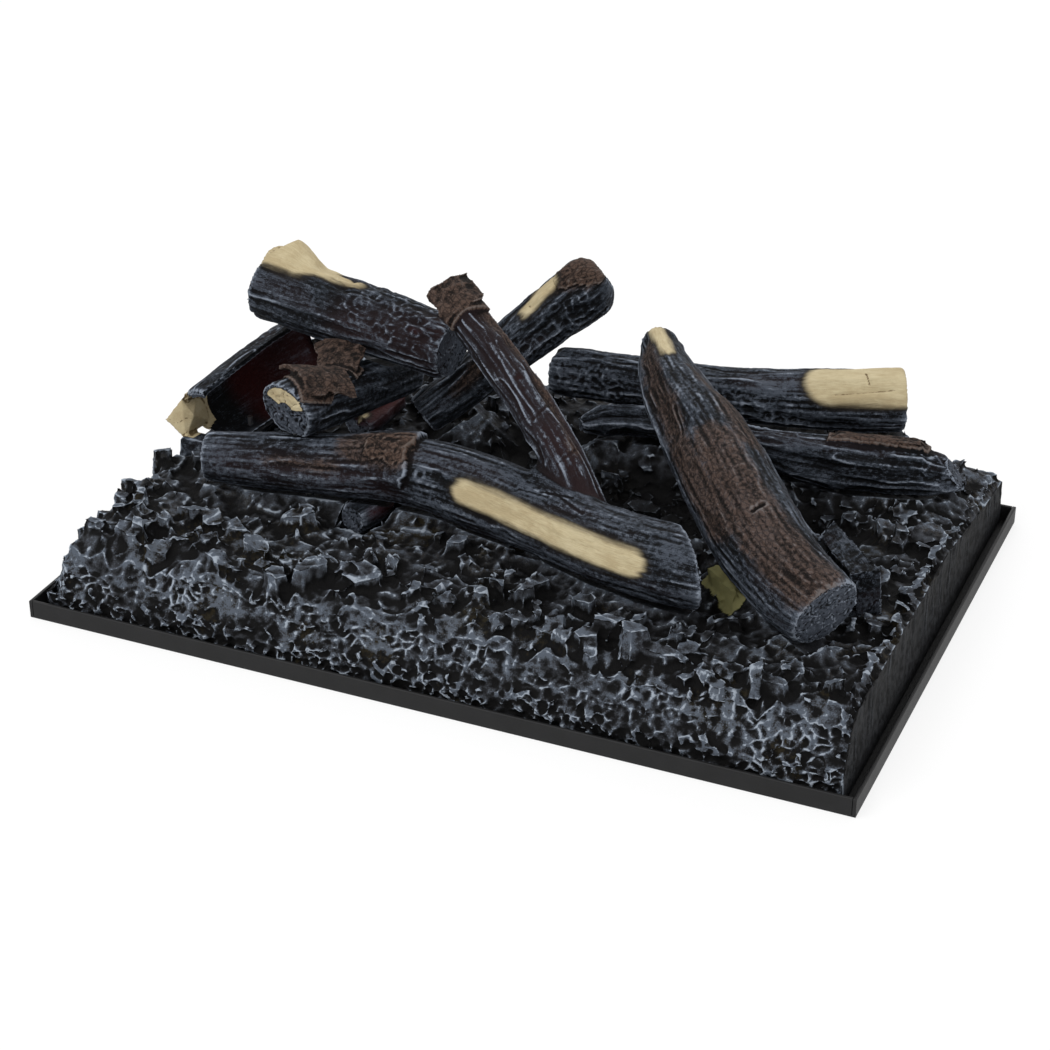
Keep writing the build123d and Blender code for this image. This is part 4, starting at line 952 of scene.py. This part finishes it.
# piece, its shapes, and the logs that it keeps clear of
logPlan = [("forkedFrontLog", ["front", "branch"], ["topLeft"]), ("topLeftLog", ["topLeft"], []),
           ("leaningLog", ["leaning"], []), ("backLog", ["back"], ["leaning"]),
           ("rightLog", ["right"], ["back"]), ("frontRightLog", ["frontRight"], ["back", "right"]),
           ("leftShortLog", ["short"], ["front", "topLeft", "leaning", "glowing"]),
           ("hollowBarkLog", ["hollow"], ["topLeft"]),
           ("splitLogUnderRight", ["underRight"], ["frontRight"]),
           ("splitLogUnderLeft", ["underLeft"], ["front"]), ("glowingSplitLog", ["glowing"], ["leaning"])]
for name, keys, neighbours in logPlan:
    piece, points, fields = buildLog(name, keys)
    clearance = underLog if name in ("splitLogUnderRight", "splitLogUnderLeft") else keepClear
    points = clearance(points, [lineOf[key] for key in neighbours])
    finishLog(piece, points, fields, charred, logs[keys[0]])
print("logs carved")

# ember bed: the model's own moulding, sharpened and covered with charcoal
bedShape = {
    "bottom": 0.0012, "seed": 77, "basin": (0.268, 0.168, 0.186), "rests": ["front", "back", "right",
        "frontRight", "leaning", "hollow", "underRight", "underLeft", "glowing"],
    "embers": [{"at": (0.172, -0.070, 0.061), "size": (0.038, 0.030, 0.030), "turn": -40, "seed": 6},
        {"at": (-0.020, -0.032, 0.054), "size": (0.014, 0.012, 0.012), "turn": 10, "seed": 4}]}
charShape = {
    "count": 210, "small": 0.0065, "large": 0.0165, "power": 1.3, "lowest": 0.03, "tall": (0.50, 0.95),
    "tilt": 0.36, "sunk": 0.9, "leftCount": 30, "rimCount": 80, "rimSize": (0.0040, 0.0078), "pit": 0.0030}
crumbShape = {
    "count": 1500, "small": 0.0024, "large": 0.0072, "power": 2, "form": (1.25, 0.95, 0.6), "span": 0.95,
    "lowest": 0.006, "spread": 0.022, "rise": 0.0026, "edgeCount": 420, "edgeRise": 0.0022}
crust = {
    "net": 0.0018, "netSize": (0.0090, 0.0070, 0.0070), "netTop": 0.052, "crumb": 0.0009,
    "crumbSize": 0.0060, "ridge": 0.0012, "ridgeSize": 0.0075, "grit": 0.0006, "gritSize": 0.0024,
    "drip": 0.0012, "dripSize": (0.0065, 0.0065, 0.016), "flute": 0.0020,
    "fluteSize": (0.006, 0.006, 0.026), "pitSize": 0.017, "pitShare": (0.50, 0.70),
    "pitHeight": (0.030, 0.045), "wallFacing": (0.6, 0.9), "wallReach": (0.001, 0.004),
    "steepFacing": (0.35, 0.8), "deepHeight": (0.046, 0.062)}


def charBlock(place, size, dice):
    # a broken lump of charcoal with a tipped top and steep sides
    sides = int(dice.integers(4, 7))
    turns = (np.arange(sides) + dice.uniform(-0.3, 0.3, sides)) * 2 * pi / sides + dice.uniform(0, 6)
    reach, narrow = size * dice.uniform(0.8, 1.15, sides), dice.uniform(0.55, 1.0)
    way = dice.uniform(0, pi)
    flat = np.stack([np.cos(turns) * reach, np.sin(turns) * reach * narrow], 1)
    flat = flat @ np.array([[cos(way), sin(way)], [-sin(way), cos(way)]])
    top = flat * dice.uniform(0.62, 0.92)
    height = size * dice.uniform(*charShape["tall"])
    height = height + top @ dice.uniform(-charShape["tilt"], charShape["tilt"], 2)
    lower = np.column_stack([flat, np.full(sides, -charShape["sunk"] * size)])
    return np.concatenate([lower, np.column_stack([top, height])]) + place


def crumbBlock(place, size, dice):
    # a small angular bit of charcoal, turned any way
    points = cubeCorners * dice.uniform(0.45, 1.0, (8, 3)) * crumbShape["form"] * size
    axes = np.linalg.qr(dice.normal(size=(3, 3)))[0]
    return points @ axes + place


def standsClear(line, points, gap=0.002):
    # true where all points are off a log or past one of its ends
    spot = locate(line, points)
    return (spot.reach > spot.radius + gap).all() or (spot.run < 0).all() or (spot.run > line.length).all()


def buildBed(shape, source):
    mesh = source.data.copy()
    mesh.transform(source.matrix_world)
    own = [face.vertices[:] for face in mesh.polygons]
    tree = BVHTree.FromPolygons([vertex.co[:] for vertex in mesh.vertices], own)
    shells, dice = Shells(), np.random.default_rng(shape["seed"])
    shells.add(readRows(mesh.vertices, "co"), own)
    bpy.data.meshes.remove(mesh)
    halfLength, halfDepth = stack["halfLength"], stack["halfDepth"]
    onTop = lambda x, y: tree.ray_cast(Vector((x, y, 0.3)), Vector((0, 0, -1)))[0]
    lay = lambda block: shells.add(*hullOf(block))

    def scattered(kind):
        # size and place of the next bit; a higher power makes more of them small
        size = kind["small"] + (kind["large"] - kind["small"]) * dice.random() ** kind["power"]
        return size, dice.uniform(-1, 1) * (halfLength - size), dice.uniform(-1, 1) * (halfDepth - size)

    for k in range(charShape["count"] + charShape["leftCount"]):
        size, x, y = scattered(charShape)
        if k >= charShape["count"]:
            x, size = size * 0.6 - halfLength + 0.006 * dice.random(), size * 0.8
        hit = onTop(x, y)
        if hit is not None and hit[2] > charShape["lowest"]:
            block = charBlock(np.array(hit), size, dice)
            if all(standsClear(lineOf[key], block) for key in shape["rests"]):
                lay(block)
    for k in range(charShape["rimCount"]):
        # ragged teeth along the top of the right wall
        size = dice.uniform(*charShape["rimSize"])
        y = halfDepth * (2 * (k + dice.random()) / charShape["rimCount"] - 1)
        hit = onTop(halfLength - 0.003, y)
        if hit is not None:
            lay(charBlock(np.array([halfLength - size * 1.2, y, hit[2]]), size, dice))
    for ember in shape["embers"]:
        lay(chunkPoints(ember))
    for _ in range(crumbShape["count"]):
        size, x, y = scattered(crumbShape)
        hit = onTop(x, y)
        if hit is not None:
            sunk = crumbShape["rise"] * dice.uniform(0.2, 1.0) - size * 0.6
            lay(crumbBlock(np.array([x, y, hit[2] + sunk]), size, dice))
    for _ in range(crumbShape["edgeCount"]):
        # bits on the steep front and left sides, down to just above the tray
        size = dice.uniform(crumbShape["small"], 0.7 * crumbShape["large"])
        along = dice.uniform(-crumbShape["span"], crumbShape["span"])
        lift = shape["bottom"] + crumbShape["lowest"] + crumbShape["spread"] * dice.random()
        onFront = dice.random() < halfLength / (halfLength + halfDepth)
        out = crumbShape["edgeRise"] * dice.uniform(0.2, 1.0) - size * 0.5
        place = (along * halfLength, -halfDepth - out) if onFront else (-halfLength - out, along * halfDepth)
        lay(crumbBlock(np.array([*place, lift]), size, dice))
    return shells.makePiece("emberBed", voxel["bed"]), tree


def netField(points, steep):
    # ridges round the cells of a net, on the steep low ground only
    bend = np.stack([latticeNoise(points / 0.012, 533 + k) for k in range(3)], 1) - 0.5
    first, second = cellNoise((points + 0.006 * bend) / crust["netSize"], 531)
    return step(0.02, 0.42, second - first) * steep * step(0.25, 0.65, latticeNoise(points / 0.030, 537))


def dressBed(piece, shape, tree):
    # carves the crust, keeps it off the logs and saves what the material reads
    mesh = piece.data
    points, normals = readMesh(mesh)[:2]
    halfLength, halfDepth = stack["halfLength"], stack["halfDepth"]
    probes, up = points + normals * 0.0006, Vector((0, 0, 1))
    shown = np.array([tree.ray_cast(Vector(probe), up)[0] is None for probe in probes], float)
    wallGap = np.minimum(halfLength - points[:, 0], halfDepth - points[:, 1])
    wall = step(*crust["wallFacing"], np.maximum(normals[:, 0], normals[:, 1]))
    wall = wall * (1 - step(*crust["wallReach"], wallGap))
    height = points[:, 2].copy()
    flutes = creases(points / crust["fluteSize"], 521) * wall * step(0.012, 0.03, height)
    rough = shown * (1 - 0.9 * wall) * (0.15 + 0.85 * step(0.004, 0.010, height))
    crumbs = layeredNoise(points / crust["crumbSize"], 501)
    grit = latticeNoise(points / crust["gritSize"], 505)
    ridges, drips = creases(points / crust["ridgeSize"], 503), creases(points / crust["dripSize"], 511)
    steep = step(*crust["steepFacing"], 1 - np.abs(normals[:, 2]))
    low = np.flatnonzero((shown > 0.5) & (steep > 0.3) & (wall < 0.3) & (height < crust["netTop"]))
    net = np.zeros(len(points))
    net[low] = netField(points[low], steep[low])
    pits = latticeNoise(points * (1, 1, 0) / crust["pitSize"], 541)
    pits = step(*crust["pitShare"], pits) * step(*crust["pitHeight"], height)
    depth = rough * (crust["net"] * net + crust["crumb"] * crumbs + crust["ridge"] * (1 - ridges)
                     + crust["grit"] * grit + crust["drip"] * steep * (1 - drips))
    points = points - normals * (depth + shown * crust["flute"] * flutes)[:, None]
    points[:, 2] -= shown * (1 - wall) * charShape["pit"] * pits
    sideReach, frontReach, backReach = shape["basin"]
    inside = np.minimum(np.minimum(sideReach - np.abs(points[:, 0]), points[:, 1] + frontReach),
                        backReach - points[:, 1])
    # the low basin inside the logs, painted near black as shade
    deep = (1 - step(*crust["deepHeight"], points[:, 2])) * step(0, 0.02, inside)
    seen = np.flatnonzero(shown > 0.5)
    points[seen] = underLog(points[seen], [lineOf[key] for key in shape["rests"]])
    edgeRise = crumbShape["edgeRise"]
    points[:, 0] = np.clip(points[:, 0], -halfLength - edgeRise, halfLength)
    points[:, 1] = np.clip(points[:, 1], -halfDepth - edgeRise * 0.6, halfDepth)
    points[:, 2] = np.maximum(points[:, 2], shape["bottom"])
    writePoints(mesh, points)
    lumps = np.maximum.reduce([chunkField(points, ember) for ember in shape["embers"]])
    # the wide standing-out field from two scales lets the material paint shade into hollows
    saveFields(mesh, {"edge": edgeField(mesh, (2,), (0.2,)), "swellAndShade": edgeField(mesh, (9, 60), (0.12, 0.12)),
                      "wall": wall, "deep": deep, "amber": lumps})
    mesh.shade_smooth()


# pit is near black: painted shade of the hollows and of the low basin, and the dark flecks of the walls
emberLook = {
    "pit": (0.0052, 0.0051, 0.0053), "coal": (0.0390, 0.0420, 0.0490), "earth": (0.0340, 0.0285, 0.0220),
    "wash": (0.086, 0.103, 0.130), "ash": (0.31, 0.35, 0.405), "olive": (0.038, 0.029, 0.012),
    "wall": (0.024, 0.0250, 0.027), "ember": (0.29, 0.275, 0.125)}


def emberCrust(name, look):
    material, bench, shader = startMaterial(name, {"Specular IOR Level": 0.05})
    place = bench.node("TexCoord", out=3)
    edge, swellAndShade, wall, deep, lump = bench.masks("edge", "swellAndShade", "wall", "deep", "amber")
    grit, crumb, patchy = place.noise(0.0010, layers=2.0), place.noise(0.005), place.noise(0.045, layers=2.0)
    frontward = 1 - bench.node("SeparateXYZ", {}, {0: place}, out=1).rise(-0.185, -0.09)
    # coal, near black in its hollows as painted shade, lighter where it stands out
    raised = swellAndShade + (crumb - 0.5) * 0.5 + (grit - 0.5) * 0.3
    colour = raised.rise(0.26, 0.62).blend(look["pit"], look["coal"])
    earthy = (patchy + (crumb - 0.5) * 0.7).rise(0.46, 0.64) * swellAndShade.rise(0.3, 0.5) * 0.75
    colour = earthy.blend(colour, look["earth"])
    amber = (patchy + (crumb - 0.5) * 0.6).rise(0.58, 0.72) * (1 - swellAndShade.rise(0.35, 0.52)) * (1 - wall)
    colour = (amber * 0.4).blend(colour, look["olive"])
    washed = swellAndShade + (grit - 0.5) * 0.7 + (patchy - 0.5) * 0.8 + (crumb - 0.5) * 0.6 + frontward * 0.10
    colour = (washed.rise(0.50, 0.74) * (1 - wall * 0.7) * 0.8).blend(colour, look["wash"])
    plain = (crumb * 0.6 + grit * 0.4).rise(0.42, 0.60).blend(look["pit"], look["wall"])
    colour = (wall * 0.9).blend(colour, plain)
    # the low basin painted near black as shade, with less dry brushing
    colour = (deep * 0.94).blend(colour, look["pit"])
    brush = edge + (swellAndShade - 0.5) * 0.45 + (grit - 0.5) * 0.45 + (patchy - 0.5) * 0.5 + frontward * 0.02
    brush = brush.rise(0.73, 1.0) * (1 - wall * 0.85) * (1 - deep * 0.8)
    colour = lump.blend((brush * 0.85).blend(colour, look["ash"]), look["ember"])
    rough = 0.66 - brush * 0.1 - amber * 0.2 + (grit - 0.5) * 0.2
    feed(shader, bench, colour, rough, (grit + crumb * 0.8) * (1 - wall * 0.75), 0.6, 0.0009)
    return material


bed, bedTree = buildBed(bedShape, frame["nodes"]["ember_bed"])
print("bed skin made")
dressBed(bed, bedShape, bedTree)
bed.data.materials.append(emberCrust("emberCrust", emberLook))
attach(bed, "bed")
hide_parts("ember_bed")
replaced.add("ember_bed")
print("ember bed made", len(bed.data.vertices))

# finishes of the model's own pieces: colour, how far it shifts, roughness, grain size in metres and strength
# of its bumps, then metal and sheen where they aren't 0 and 0.5
finishes = {
    "tray_paint": ((0.0085, 0.0085, 0.0090), 0.25, 0.55, 0.0007, 0.25, 0.0, 0.25),
    "gland_rubber": ((0.018, 0.018, 0.018), 0.3, 0.7, 0.001, 0.2),
    "switch_plastic": ((0.016, 0.016, 0.018), 0.2, 0.35, 0.0004, 0.1),
    "terminal_plastic": ((0.72, 0.72, 0.69), 0.08, 0.45, 0.002, 0.1),
    "blade_brass": ((0.72, 0.53, 0.24), 0.15, 0.3, 0.001, 0.1, 1.0),
    "circuit_board": ((0.70, 0.71, 0.69), 0.1, 0.4, 0.004, 0.08),
    "emitter_lens": ((0.82, 0.52, 0.12), 0.2, 0.2, 0.001, 0.05),
    "wire_sheath": ((0.022, 0.022, 0.022), 0.3, 0.45, 0.002, 0.1),
    "spacer_nylon": ((0.76, 0.73, 0.64), 0.1, 0.4, 0.001, 0.05),
    "driver_case": ((0.035, 0.035, 0.037), 0.25, 0.6, 0.0006, 0.3),
    "transformer_case": ((0.62, 0.47, 0.10), 0.2, 0.45, 0.002, 0.1),
    "capacitor_sleeve": ((0.02, 0.02, 0.06), 0.2, 0.3, 0.002, 0.05),
    "plated_steel": ((0.55, 0.56, 0.57), 0.15, 0.3, 0.0015, 0.15, 1.0)}


def plainFinish(name, tint, shift, rough, size, bump, metal=0.0, sheen=0.5):
    # moulded, painted or plated surface with fine grain and faint clouding
    material, bench, shader = startMaterial(name, {"Metallic": metal, "Specular IOR Level": sheen})
    place = bench.node("TexCoord", out=3)
    grain, cloud = place.noise(size, layers=2.0), place.noise(0.02, layers=3.0)
    dark, light = [[min(1, value * (1 + way * shift)) for value in tint] for way in (-1, 1)]
    colour = (cloud + (grain - 0.5) * 0.6).rise(0.25, 0.75).blend(dark, light)
    feed(shader, bench, colour, rough + (cloud - 0.5) * 0.16, grain, bump, 0.0004)
    return material


slotOf = {row["node"]: row["material_slot"] for row in frame["record"]["subparts"]}
materials = {slot: plainFinish(slot, *look) for slot, look in finishes.items()}
for node, piece in frame["nodes"].items():
    if node not in replaced:
        piece.data.materials.clear()
        piece.data.materials.append(materials[slotOf[node]])
print("model pieces finished")

{"cad": [list(corner) for corner in cadBox], "visual": [list(corner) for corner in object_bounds()]}
